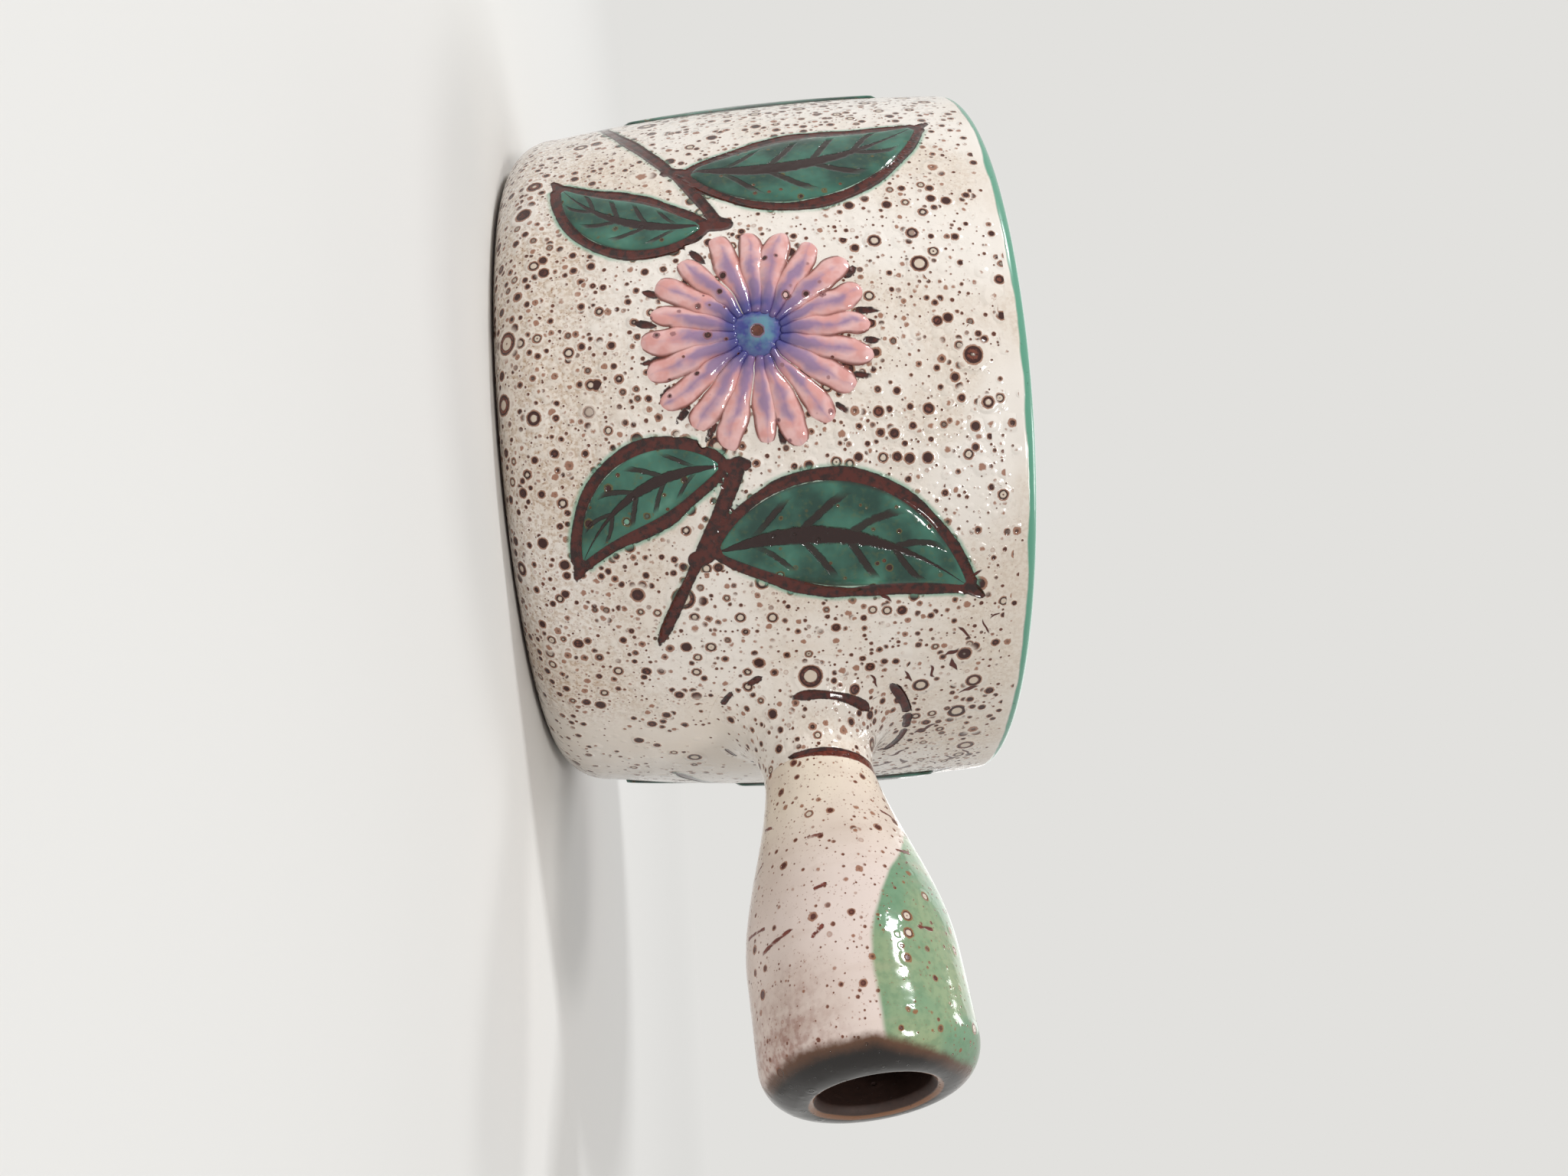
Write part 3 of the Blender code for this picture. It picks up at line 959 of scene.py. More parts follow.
def wall_colour(bench, place, noises, field, clean, crowded):
    """Cream with a mottled brown haze and specks between the craters."""
    slow, _, grit = noises
    open_glaze = 1.0 - field["bank"]
    cream = bench.blend(slow.over(0.35, 0.75) * 0.6, CREAM, CREAM_WARM)
    mottle = noise(bench, place, 0.8, 2.0, 47.0)
    haze = crowded * open_glaze * (mottle.over(0.36, 0.66) * 0.62 + grit.over(0.52, 0.66) * 0.2)
    cream = bench.blend(haze, cream, HAZE)
    speckle = grit.over(0.66, 0.72) * (crowded * 0.6 + 0.15) * open_glaze * clean.at_most(1.0)
    return over_craters(bench, bench.blend(speckle, cream, SPECK), field)


def inside_colour(bench, place, noises, section):
    """Green that runs down from the rim and pools dark on the floor."""
    _, fine, grit = noises
    runs = stretched_noise(bench, place, (1.0, 1.0, 0.25), 6.0, 3.0, 31.0)
    green = bench.blend(section.over(LIP_CREST + 1.0, LIP_END + 4.0), RIM_GREEN, INNER_GREEN)
    run = runs.over(0.4, 0.7) * section.over(LIP_END, LIP_END + 8.0) * 0.6
    green = bench.blend(run, green, TEAL)
    pool = section.over(LIP_END + 60.0, LIP_END + 100.0) * 0.75
    pooled = bench.blend(pool, green, POOL_GREEN)
    return bench.blend(fine.over(0.62, 0.72) * grit.over(0.5, 0.6) * 0.5, pooled, TEAL_DEEP)


def clay_colour(bench, noises, arcs):
    slow, fine, _ = noises
    clay = bench.blend(fine, CLAY, CLAY_DARK)
    return bench.blend(slow.over(0.3, 0.7) * 0.4 + arcs.over(0.5, 0.7) * 0.3, clay, CLAY_PALE)


print("colours of the body ready")

# %% The whole finish of the body
RIM_LINE = 3.7
BARE_EDGE = 2.4
WIRE_CENTRE = (190.0, 60.0, 0.0)


def crater_glaze():
    material, bench, shader = new_finish("crater_glaze")
    place = millimetres(bench)
    section = attribute(bench, "section_mm")
    line = attribute(bench, "line_mm")
    noises = slow, fine, grit = grains(bench, place)
    clean, crowded = wall_state(bench, place, section, slow)
    field = crater_field(bench, place, WALL_CRATERS, clean)
    glazed = wall_colour(bench, place, noises, field, clean, crowded)

    rough_edge = line + (fine - 0.5) * 0.35 + (grit - 0.5) * 0.12
    drawn = rough_edge.over(0.1, -0.1)
    bleed = rough_edge.over(1.0, 0.1) * slow.over(0.36, 0.56) * attribute(bench, "line_tint") * 0.75
    tinted = bench.blend(bleed, glazed, TEAL_PALE)
    lined = bench.blend(drawn, tinted, line_colour(bench, line, fine))
    dashed = dashes(bench, place, 62.0, 11.0).at_least(dashes(bench, place, -28.0, 57.0))
    outside_colour = bench.blend(dashed, lined, LINE_BROWN)

    wavy = LIP_CREST - section + (noise(bench, place, 12.0, 2.0, 2.0) - 0.5) * 1.6
    rim = wavy.over(RIM_LINE + 0.25, RIM_LINE - 0.25)
    with_rim = bench.blend(rim, outside_colour, inside_colour(bench, place, noises, section))

    clay_edge = section - CORNER_START + (noise(bench, place, 5.0, 2.0, 70.0) - 0.5) * 1.6
    bare = clay_edge.over(BARE_EDGE + 0.3, BARE_EDGE)
    from_wire = bench.vector("LENGTH", bench.vector("ADD", place, WIRE_CENTRE), out="Value")
    arcs = noise(bench, bench.joined(from_wire, 0.0, 0.0), 2.2, 2.0, 3.0)
    scorch = clay_edge.over(BARE_EDGE + 1.0, BARE_EDGE + 0.3) * 0.8
    scorched = bench.blend(scorch, with_rim, CRATER_RED)
    colour = bench.blend(bare, scorched, clay_colour(bench, noises, arcs))

    glaze_only = (1.0 - rim) * (1.0 - bare)
    groove = rough_edge.over(1.5, 0.2) * (1.0 - drawn) * 0.08
    sunk = drawn * 0.12 + line.over(0.1, -0.7) * 0.26 - groove
    dents = field["hole"] * 0.42 - field["middle"] * 0.2 - field["heap"].at_most(1.4) * 0.17
    dents = sunk + dashed * 0.1 + dents * (1.0 - drawn.at_least(dashed))
    waves = noise(bench, place, 7.0, 2.0, 12.0) * 0.2 + noise(bench, place, 2.2, 1.0, 15.0) * 0.05
    rings = noise(bench, bench.joined(section, slow, 0.0), 4.5, 1.0, 8.0)
    relief = waves * (1.0 - rim * 0.8) * (1.0 - bare) + (fine * 0.12 + arcs * 0.3) * bare
    relief = relief - dents * glaze_only + rings * (1.0 - bare) * (1.0 - rim * 0.5) * 0.3
    roughness = bare * 0.62 + rim * 0.08 + (field["hole"] * glaze_only * 0.1 + 0.09) + slow * 0.05
    set_surface(bench, shader, colour, roughness, relief)
    return material


CRATER_GLAZE = crater_glaze()
print("crater glaze:", len(CRATER_GLAZE.node_tree.nodes), "nodes")

# %% [markdown]
# ## The body
#
# The body comes off the wheel with a fine mesh, because it carries the lines' distances, and then
# through the line tree. It stands for the solid of the same piece.

# %% Make the body
BODY_STEPS = 560


def stands_for(piece, node):
    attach(piece, "root")
    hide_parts(node)


body = turned_piece("thrown_body", body_section, BODY_STEPS, 0.5, CRATER_GLAZE)
body = with_lines(body, CRATER_GLAZE)
stands_for(body, "pan_body")

# %% [markdown]
# ## The handle
#
# The handle is thrown like a small bottle and cut from the wheel with its mouth turned in. Its
# section starts inside the root, runs up the hollow, round the lip and back along the outside.

# %% Half section of the handle
HANDLE_STEPS = 240
handle_inside = [(grip_radius(x) - HANDLE_WALL, x) for x in between(0.0, HANDLE_LENGTH - 6.2, 40)]
mouth = arc((MOUTH_RADIUS + MOUTH_LIP, HANDLE_LENGTH - MOUTH_LIP), MOUTH_LIP, 180.0, 90.0, 10)
shoulder_along = HANDLE_LENGTH - END_ROUND
shoulder = arc((GRIP_RADIUS - END_ROUND, shoulder_along), END_ROUND, 90.0, 0.0, 20)
handle_outside = [(grip_radius(x), x) for x in between(shoulder_along, 0.4, 130)]
handle_section = handle_inside + mouth + shoulder + handle_outside + handle_inside[:1]
MOUTH_CREST = section_length(handle_inside + mouth)
print("handle section:", round(section_length(handle_section), 1), "mm")

# %% [markdown]
# The handle's glaze is thinner: cream that turns pinkish towards the end, with fine specks, a
# patch of green along one side, and an end dipped in dark brown. The patterns are worked out in
# the handle's own frame, which a Mapping node gives: z runs along the handle.

# %% The handle's grounds: cream and the green patch
HANDLE_CRATERS = (
    (4.4, 0.6, 1.05, 0.85, 3.0),
    (2.6, 0.3, 0.66, 0.95, 41.0),
    (1.7, 0.15, 0.34, 1.2, 17.0),
    (1.15, 0.1, 0.2, 1.0, 63.0),
)
NECK_CREAM = rgb(232, 219, 201)
GRIP_PINK = rgb(222, 206, 198)
GRIP_SHADE = rgb(207, 189, 177)
PATCH_GREEN = rgb(112, 148, 116)
PATCH_YELLOW = rgb(146, 162, 124)
PATCH_SPOT = rgb(92, 128, 96)
# painted shade for the green patch on the side towards the rim
PATCH_PAINTED_SHADE = rgb(80, 108, 70)
BAND_TAN = rgb(188, 162, 144)
DUST_BROWN = rgb(140, 92, 68)
BLUSH_RED = rgb(142, 92, 78)


def patch_mask(around, along, wander):
    """The green patch: a straight edge down the handle, curved off to the side where it starts."""
    first = ((60.0 - along).at_least(0.0) / 30.0).power(2.0) * 60.0 + 3.0
    near_side = (around + wander * 5.0 - first).over(-1.5, 2.0)
    far_side = (around + wander * 8.0).over(142.0, 134.0)
    return near_side * far_side * (along + wander * 6.0).over(26.0, 29.0)


def grip_ground(bench, own, noises, around, along, wander):
    slow, fine, grit = noises
    cream = bench.blend(along.over(16.0, 46.0), NECK_CREAM, GRIP_PINK)
    cream = bench.blend(slow.over(0.35, 0.7) * 0.6, cream, GRIP_SHADE)
    green = bench.blend(slow.over(0.4, 0.65), PATCH_GREEN, PATCH_YELLOW)
    green = bench.blend(fine.over(0.4, 0.7) * 0.4, green, PATCH_SPOT)
    # painted shade: the green darkens from partway up the near side to the top of the handle and
    # beyond
    green = bench.blend(around.over(45.0, 95.0) * 0.7, green, PATCH_PAINTED_SHADE)
    ground = bench.blend(patch_mask(around, along, wander), cream, green)
    bands = stretched_noise(bench, own, (0.35, 0.35, 1.6), 7.0, 3.0, 51.0)
    ground = bench.blend(bands.over(0.52, 0.75) * 0.3, ground, BAND_TAN)
    ground = bench.blend(grit.over(0.64, 0.74) * fine.over(0.4, 0.6) * 0.6, ground, DUST_BROWN)
    blush = (along + wander * 14.0).over(52.0, 70.0)
    blush = blush * around.over(0.0, -50.0) * around.over(-175.0, -130.0)
    blush = blush * (fine.over(0.35, 0.7) * 0.5 + bands.over(0.3, 0.6) * 0.3)
    return bench.blend(blush, ground, BLUSH_RED)


print("grounds of the handle ready")

# %% The handle's dip, its lip and its hollow
HANDLE_HOLE = rgb(84, 34, 25)
HANDLE_LINE = rgb(118, 50, 36)
DIP_THIN = rgb(92, 60, 40)
DIP_DARK = rgb(20, 13, 10)
DIP_REACH = 8.0
DIP_SHORTER = 3.8
# pale lip line: partly thinned glaze, partly a painted highlight on the lip
LIP_TAN_AND_HIGHLIGHT = rgb(140, 94, 62)
# painted shade: the hollow's bare clay, much darker than the clay outside
HOLLOW_CLAY_IN_SHADE = rgb(66, 42, 33)
HOLLOW_SHADE_DARK = rgb(42, 28, 23)
print("the dip reaches", DIP_REACH, "mm up from the mouth")

# %% The whole finish of the handle


def handle_glaze():
    material, bench, shader = new_finish("handle_glaze")
    place = millimetres(bench)
    own = bench.node(
        "ShaderNodeMapping", {"vector_type": "TEXTURE"},
        {"Vector": place, "Location": tuple(HANDLE_ROOT), "Rotation": HANDLE_TURN},
    )
    x, y, along = bench.split(own)
    # 0 on the side that faces -Y, 90 towards the rim, 180 on the far side
    around = (0.0 - x).math("ARCTAN2", 0.0 - y) * (180.0 / math.pi)
    slow = noise(bench, place, 18.0, 3.0, 9.0)
    fine = noise(bench, place, 1.2, 2.0, 5.0)
    grit = noise(bench, place, 0.42, 1.0, 19.0)
    wander = noise(bench, place, 9.0, 2.0, 33.0) - 0.5
    crowd = along.over(50.0, 14.0) * 0.4 + 0.6
    field = crater_field(bench, place, HANDLE_CRATERS, crowd)
    ground = grip_ground(bench, own, (slow, fine, grit), around, along, wander)
    spotted = over_craters(bench, ground, field, dark=HANDLE_HOLE)

    # the dip reaches less far up on the green side than on the pale one
    section = attribute(bench, "section_mm")
    reach = DIP_REACH - around.over(-8.0, 44.0) * around.over(175.0, 130.0) * DIP_SHORTER
    dip = reach - (section - MOUTH_CREST) + wander * 3.0 + (fine - 0.5) * 0.6 + (grit - 0.5) * 0.3
    end_brown = bench.blend(dip.over(0.2, 2.8), DIP_THIN, DIP_DARK)
    tail = bench.blend(dip.over(-1.0, 0.7), spotted, end_brown)
    line = attribute(bench, "line_mm")
    drawn = (line + (fine - 0.5) * 0.4).over(0.1, -0.1)
    lined = bench.blend(drawn, tail, line_colour(bench, line, fine, HANDLE_LINE))

    # the glaze thins to a pale line on the mouth's lip, which is partly thinned glaze and partly a
    # painted highlight on the lip, and the hollow behind it is bare clay painted dark as shade
    inward = section + wander * 0.8
    hollow = inward.over(MOUTH_CREST - 1.0, MOUTH_CREST - 1.6)
    lip_line_and_highlight = inward.over(MOUTH_CREST - 1.6, MOUTH_CREST - 1.2)
    lip_line_and_highlight = lip_line_and_highlight * inward.over(MOUTH_CREST - 0.2, MOUTH_CREST - 0.6)
    bare = hollow * (1.0 - lip_line_and_highlight)
    thinned_and_highlit = bench.blend(lip_line_and_highlight * 0.8, lined, LIP_TAN_AND_HIGHLIGHT)
    colour = bench.blend(bare, thinned_and_highlit, bench.blend(fine, HOLLOW_CLAY_IN_SHADE, HOLLOW_SHADE_DARK))

    waves = noise(bench, place, 8.0, 2.0, 12.0) * 0.24 + noise(bench, place, 2.4, 1.0, 15.0) * 0.04
    turning = stretched_noise(bench, own, (0.2, 0.2, 1.0), 3.2, 1.0, 27.0)
    relief = waves + turning * 0.1 - field["hole"] * 0.2 - drawn * 0.1 + field["heap"] * 0.06
    roughness = bare * 0.55 + 0.07 + field["hole"] * 0.1 + slow * 0.06
    set_surface(bench, shader, colour, roughness, relief)
    return material


HANDLE_GLAZE = handle_glaze()
print("handle glaze:", len(HANDLE_GLAZE.node_tree.nodes), "nodes")

# %% Make the handle
handle = turned_piece(
    "thrown_handle", handle_section, HANDLE_STEPS, 0.4, HANDLE_GLAZE,
    tuple(HANDLE_ROOT), HANDLE_TURN,
)
# this section runs the other way round than the body's, so its faces are turned to point outwards
handle.data.flip_normals()
handle = with_lines(handle, HANDLE_GLAZE)
stands_for(handle, "handle_grip")

# %% [markdown]
# ## The collar
#
# Handle and body meet in a collar of soft clay, smoothed with a wet finger until it runs into
# both. It follows the round of the wall, so it is made as rings round the handle's axis, each
# point lifted off the wall by the flare's height. The last rings run down inside the neck and
# back under the wall's skin, which closes the mesh.

# %% Make the collar
COLLAR_STEPS, COLLAR_RINGS = 180, 34
COLLAR_LIFT = 0.1
SKIN_DEPTH = 1.5
# the collar's glaze is that of the middle of the wall, away from rim and foot
COLLAR_SECTION = LIP_CREST - 44.0


def collar_ring(share, lift, radius=None):
    turns = [360.0 * j / COLLAR_STEPS for j in range(COLLAR_STEPS)]
    return [on_flare(share, turn, lift, radius) * MM for turn in turns]


def collar_mesh():
    """A closed ring: the flare outside, then down inside the neck and out under the wall's skin."""
    loops = [collar_ring(i / COLLAR_RINGS, COLLAR_LIFT) for i in range(COLLAR_RINGS + 1)]
    loops += [collar_ring(1.0, -depth, COLLAR_NECK - SKIN_DEPTH) for depth in (0.8, 10.0)]
    loops.append(collar_ring(0.0, -SKIN_DEPTH))
    faces = []
    for i in range(len(loops)):
        here, below = i * COLLAR_STEPS, (i + 1) % len(loops) * COLLAR_STEPS
        for j in range(COLLAR_STEPS):
            k = (j + 1) % COLLAR_STEPS
            faces.append((here + j, below + j, below + k, here + k))
    mesh = mesh_of("luted_collar", [point for loop in loops for point in loop], faces)
    shell = bmesh.new()
    shell.from_mesh(mesh)
    bmesh.ops.recalc_face_normals(shell, faces=shell.faces)
    # the rims at the wall and at the neck keep the flare's own light, so no seam shows along them
    for edge in shell.edges:
        first, second = (corner.index // COLLAR_STEPS for corner in edge.verts)
        edge.smooth = not (first == second and first in (0, COLLAR_RINGS))
    shell.to_mesh(mesh)
    shell.free()
    mesh.shade_smooth()
    return mesh


collar = with_lines(put_object("luted_collar", collar_mesh()), CRATER_GLAZE)
middle_of_wall = collar.data.attributes.new("section_mm", "FLOAT", "POINT")
middle_of_wall.data.foreach_set("value", [COLLAR_SECTION] * len(collar.data.vertices))
stands_for(collar, "handle_collar")

# %% [markdown]
# ## Enamel laid on the wall
#
# Leaves and petals are pads of thick enamel. Each is made flat first, with x along the wall,
# y up it and z for its thickness, and a tree then lays it on the wall: it bends the flat pad
# round to an azimuth and lifts it off the wall's own radius.

# %% A tree that lays a flat pad on the wall


def lay(bench, given, geometry, along, height, lift):
    """Ends a tree with its flat geometry bent round the wall. The three places are in mm."""
    angle = along / RIM_RADIUS + given["Azimuth"]
    radius = (wall_radius(height) + lift) * MM
    wrapped = bench.joined(radius * angle.math("COSINE"), radius * angle.math("SINE"), height * MM)
    finish_group(bench, smoothed(bench, moved(bench, geometry, wrapped)), given["Material"])
    return bench.tree


def lay_tree():
    bench, given = group_of("lay_on_wall", {
        "Geometry": "Geometry", "Azimuth": "Float", "Material": "Material",
    })
    along, height, lift = bench.split(bench.scaled(position(bench), 1000.0))
    return lay(bench, given, given["Geometry"], along, height, lift)


LAY_ON_WALL = lay_tree()
print("laying tree:", len(LAY_ON_WALL.nodes), "nodes")

# %% [markdown]
# A pad is a grid along and across its centre line, with a rounded top and a plain back. Two
# numbers stay on its points: the share of its length, and where it is across. The finish of a
# leaf reads them to draw the midrib and the veins, which on the real thing are brown lines
# left bare between the green.

# %% Flat pads
PAD_BACK = -0.6


def pad_faces(rows, columns):
    """Top and back grids of points joined into one closed mesh."""
    wide = columns + 1
    back = (rows + 1) * wide
    faces = []
    for i in range(rows):
        for j in range(columns):
            a, b = i * wide + j, (i + 1) * wide + j
            faces.append((a, a + 1, b + 1, b))
            faces.append((back + a, back + b, back + b + 1, back + a + 1))
    edge = list(range(wide))
    edge += [i * wide + columns for i in range(1, rows + 1)]
    edge += [rows * wide + j for j in range(columns - 1, -1, -1)]
    edge += [i * wide for i in range(rows - 1, 0, -1)]
    return faces + [(b, a, back + a, back + b) for a, b in zip(edge, edge[1:] + edge[:1])]


def flat_pad(name, kind, rows, columns, top_at):
    """A closed pad. top_at takes two shares and gives x, y and lift in mm, and a number across."""
    points, shares, crosses = [], [], []
    for back in (False, True):
        for i in range(rows + 1):
            for j in range(columns + 1):
                x, y, lift, across = top_at(i / rows, 2.0 * j / columns - 1.0)
                points.append((x * MM, y * MM, (PAD_BACK if back else lift) * MM))
                shares.append(i / rows)
                crosses.append(across)
    numbers = {kind + "_share": shares, kind + "_across": crosses}
    return mesh_of(name, points, pad_faces(rows, columns), **numbers)


print("back of a pad:", -PAD_BACK, "mm under the wall's skin")

# %% Leaves
LEAF_ROWS, LEAF_COLUMNS = 72, 28
LEAF_LIFT = 0.55
LEAF_EDGE = -0.25


def flat_leaf(name, side, leaf):
    line = leaf_line(side, leaf)

    def top_at(share, column):
        across = math.sin(math.pi / 2.0 * column)
        place = leaf_place(line, leaf, share, across)
        edge = (1.0 - abs(across) ** 8) * min(1.0, share / 0.03, (1.0 - share) / 0.03)
        return place.x, place.y, LEAF_EDGE + (LEAF_LIFT - LEAF_EDGE) * edge, across * side

    return flat_pad(name, "leaf", LEAF_ROWS, LEAF_COLUMNS, top_at)


print("faces of a leaf:", len(pad_faces(LEAF_ROWS, LEAF_COLUMNS)))

# %% The green enamel
ENAMEL_CRATERS = (
    (4.6, 0.6, 1.05, 0.75, 3.0),
    (2.7, 0.3, 0.6, 0.8, 41.0),
)
LEAF_OLIVE = rgb(92, 100, 56)
LEAF_FRINGE = rgb(96, 84, 44)
VEIN_COUNT = 5.2


def leaf_enamel():
    material, bench, shader = new_finish("leaf_enamel")
    place = millimetres(bench)
    share = attribute(bench, "leaf_share")
    out = attribute(bench, "leaf_across").size()
    slow = noise(bench, place, 9.0, 3.0, 9.0)
    fine = noise(bench, place, 1.1, 2.0, 5.0)

    thick = share.over(1.0, 0.2) * 1.25 + 0.3
    midrib = (out * 9.0 + (fine - 0.5) * 0.8).over(thick + 0.2, thick - 0.2)
    rise = (share * VEIN_COUNT - out * 1.15).math("FRACT")
    vein = ((rise - 0.5).size() * 9.0 + (fine - 0.5) * 0.9).over(1.15, 0.7) * out.over(0.8, 0.6)
    vein = vein * share.over(0.1, 0.2) * share.over(0.9, 0.8)
    drawn = midrib.at_least(vein * 0.9)
    field = crater_field(bench, place, ENAMEL_CRATERS, slow * 0.5 + 0.7)

    green = bench.blend(slow.over(0.35, 0.65), TEAL_DEEP, TEAL)
    green = bench.blend(slow.over(0.62, 0.78) * 0.6, green, TEAL_PALE)
    green = bench.blend(fine.over(0.5, 0.8) * 0.35, green, LEAF_OLIVE)
    spotted = over_craters(bench, green, field, LEAF_FRINGE, TEAL_PALE)
    lined = bench.blend(drawn, spotted, LINE_DARK)
    colour = bench.blend(out.over(0.88, 0.98) * 0.8, lined, LINE_DARK)

    relief = noise(bench, place, 5.0, 2.0, 12.0) * 0.25 - drawn * 0.35
    relief = relief - field["hole"] * 0.22 + field["heap"].at_most(1.2) * 0.07
    roughness = 0.08 + drawn * 0.05 + slow * 0.05
    set_surface(bench, shader, colour, roughness, relief)
    return material


LEAF_ENAMEL = leaf_enamel()
for node, (azimuth, side, leaf) in leaves.items():
    values = {"Azimuth": math.radians(azimuth), "Material": LEAF_ENAMEL}
    pad = run_tree("enamel_" + node, LAY_ON_WALL, values, flat_leaf("enamel_" + node, side, leaf))
    stands_for(pad, node)

# %% [markdown]
# ## The blooms
#
# One petal is modelled flat and then repeated round the heart, each copy a touch longer or
# shorter and turned a little, as a brush would lay them. The tree below does the repeating,
# bends the ring slightly with a noise, and then lays it on the wall.

# %% A tree that repeats a petal
SWAY_SCALE = 0.16
SWAY_SIZE = (2.6, 2.6, 0.7)


def chance_between(bench, low, high, seed):
    sockets = {2: low, 3: high, "Seed": seed}
    return bench.node("FunctionNodeRandomValue", {"data_type": "FLOAT"}, sockets, 1)


def petal_tree():
    bench, given = group_of("petal_ring", {
        "Petal": "Object", "Count": "Int", "Middle": "Float", "Azimuth": "Float",
        "Seed": "Int", "Shift": "Vector", "Material": "Material",
    })
    row = {"Count": given["Count"], "Offset": (0, 0, 0)}
    spots = bench.node("GeometryNodeMeshLine", {"mode": "OFFSET"}, row)
    lean = chance_between(bench, -0.035, 0.035, given["Seed"])
    reach = chance_between(bench, 0.93, 1.0, given["Seed"] + 5)
    turn = bench.node("GeometryNodeInputIndex") / given["Count"] * math.tau + lean
    ring = bench.node("GeometryNodeInstanceOnPoints", None, {
        "Points": spots, "Instance": of_object(bench, given["Petal"]),
        "Rotation": bench.joined(0.0, 0.0, turn), "Scale": bench.joined(reach, reach, 1.0),
    })
    flat = bench.node("GeometryNodeRealizeInstances", None, {"Geometry": ring})
    place = bench.scaled(position(bench), 1000.0)
    drift = bench.vector("ADD", place, given["Shift"])
    grain = {"Vector": drift, "Scale": SWAY_SCALE, "Detail": 1.0}
    sway = bench.node("ShaderNodeTexNoise", None, grain, "Color")
    sway = bench.vector("MULTIPLY", bench.vector("SUBTRACT", sway, (0.5, 0.5, 0.5)), SWAY_SIZE)
    along, up, lift = bench.split(bench.vector("ADD", place, sway))
    return lay(bench, given, flat, along, up + given["Middle"], lift)


PETAL_RING = petal_tree()
print("petal tree:", len(PETAL_RING.nodes), "nodes")

# %% One petal
PETAL_ROWS, PETAL_COLUMNS = 26, 10
PETAL_ROOT = 4.2
PETAL_HALF = 2.5
PETAL_EDGE = -0.2
ROUND_FROM = 0.76


def flat_petal():
    """One petal, pointing up +Y from the bloom's middle, low at its root."""

    def top_at(share, across):
        reach = PETAL_ROOT + (PETAL_TIP - 0.3 - PETAL_ROOT) * share
        past = max((share - ROUND_FROM) / (1.0 - ROUND_FROM), 0.0)
        round_tip = math.sqrt(max(1.0 - past**2, 0.0))
        half = min(math.pi * reach / PETAL_COUNT * 1.04, PETAL_HALF) * max(round_tip, 0.05)
        swell = 0.3 + 0.45 * math.sin(math.pi * min(share * 0.9 + 0.1, 1.0))
        end = min(1.0, (1.0 - share) / 0.06)
        lift = PETAL_EDGE + (0.35 + (1.0 - across**2) * swell) * end
        return across * half, reach, lift, across

    return flat_pad("petal", "petal", PETAL_ROWS, PETAL_COLUMNS, top_at)


print("faces of a petal:", len(pad_faces(PETAL_ROWS, PETAL_COLUMNS)))

# %% The pink enamel
PETAL_PINK = rgb(228, 184, 181)
PETAL_ROSE = rgb(214, 154, 148)
VIOLET_DEEP = rgb(72, 70, 132)
VIOLET = rgb(140, 114, 150)
MAUVE = rgb(168, 126, 152)
GROOVE_BROWN = rgb(112, 56, 44)
PETAL_FRINGE = rgb(140, 92, 96)
PETAL_HEALED = rgb(226, 190, 184)


def petal_enamel():
    material, bench, shader = new_finish("petal_enamel")
    place = millimetres(bench)
    share = attribute(bench, "petal_share")
    across = attribute(bench, "petal_across").size()
    slow = noise(bench, place, 7.0, 3.0, 9.0)
    soft = noise(bench, place, 2.6, 2.0, 47.0)
    fine = noise(bench, place, 1.0, 2.0, 5.0)
    field = crater_field(bench, place, ENAMEL_CRATERS, 0.6)

    pink = bench.blend(soft.over(0.3, 0.7), PETAL_PINK, PETAL_ROSE)
    violet = bench.blend(share.over(0.02, 0.42), VIOLET_DEEP, VIOLET)
    violet = bench.blend(slow.over(0.5, 0.7) * 0.5, violet, MAUVE)
    streak = across * 0.7 + share * 0.95 + (slow - 0.5) * 1.3 + (soft - 0.5) * 0.7
    streak = (streak.over(1.06, 0.46) * 0.9).at_least(share.over(0.42, 0.08))
    groove = across.over(0.72, 0.95) * share.over(0.3, 0.7)
    grooved = groove * slow.over(0.36, 0.5) * 0.85
    base = bench.blend(grooved, bench.blend(streak, pink, violet), GROOVE_BROWN)
    colour = over_craters(bench, base, field, PETAL_FRINGE, PETAL_HEALED)
    relief = slow * 0.35 + soft * 0.12 - field["hole"] * 0.22 + field["heap"].at_most(1.0) * 0.06
    set_surface(bench, shader, colour, 0.08 + fine * 0.08, relief)
    return material


PETAL_ENAMEL = petal_enamel()
petal = put_object("petal_template", flat_petal())
for number, (place, azimuth) in enumerate(BLOOMS.items()):
    ring = run_tree("enamel_" + place + "_petals", PETAL_RING, {
        "Petal": petal, "Count": PETAL_COUNT, "Middle": BLOOM_HEIGHT,
        "Azimuth": math.radians(azimuth), "Seed": number + 3,
        "Shift": [40.0 * number, 9.0, 5.0], "Material": PETAL_ENAMEL,
    })
    stands_for(ring, place + "_petals")
bpy.data.objects.remove(petal)

# %% [markdown]
# The heart is a low dome of blue enamel with one burst bubble in its middle. It is made as rings
# round its top and laid on the wall by the same tree as the leaves.

# %% The blue enamel
HEART_BLUE = rgb(52, 58, 134)
HEART_PALE = rgb(92, 134, 152)
HEART_VIOLET = rgb(72, 70, 138)
HEART_MAUVE = rgb(120, 104, 158)
HEART_RING = rgb(124, 100, 120)


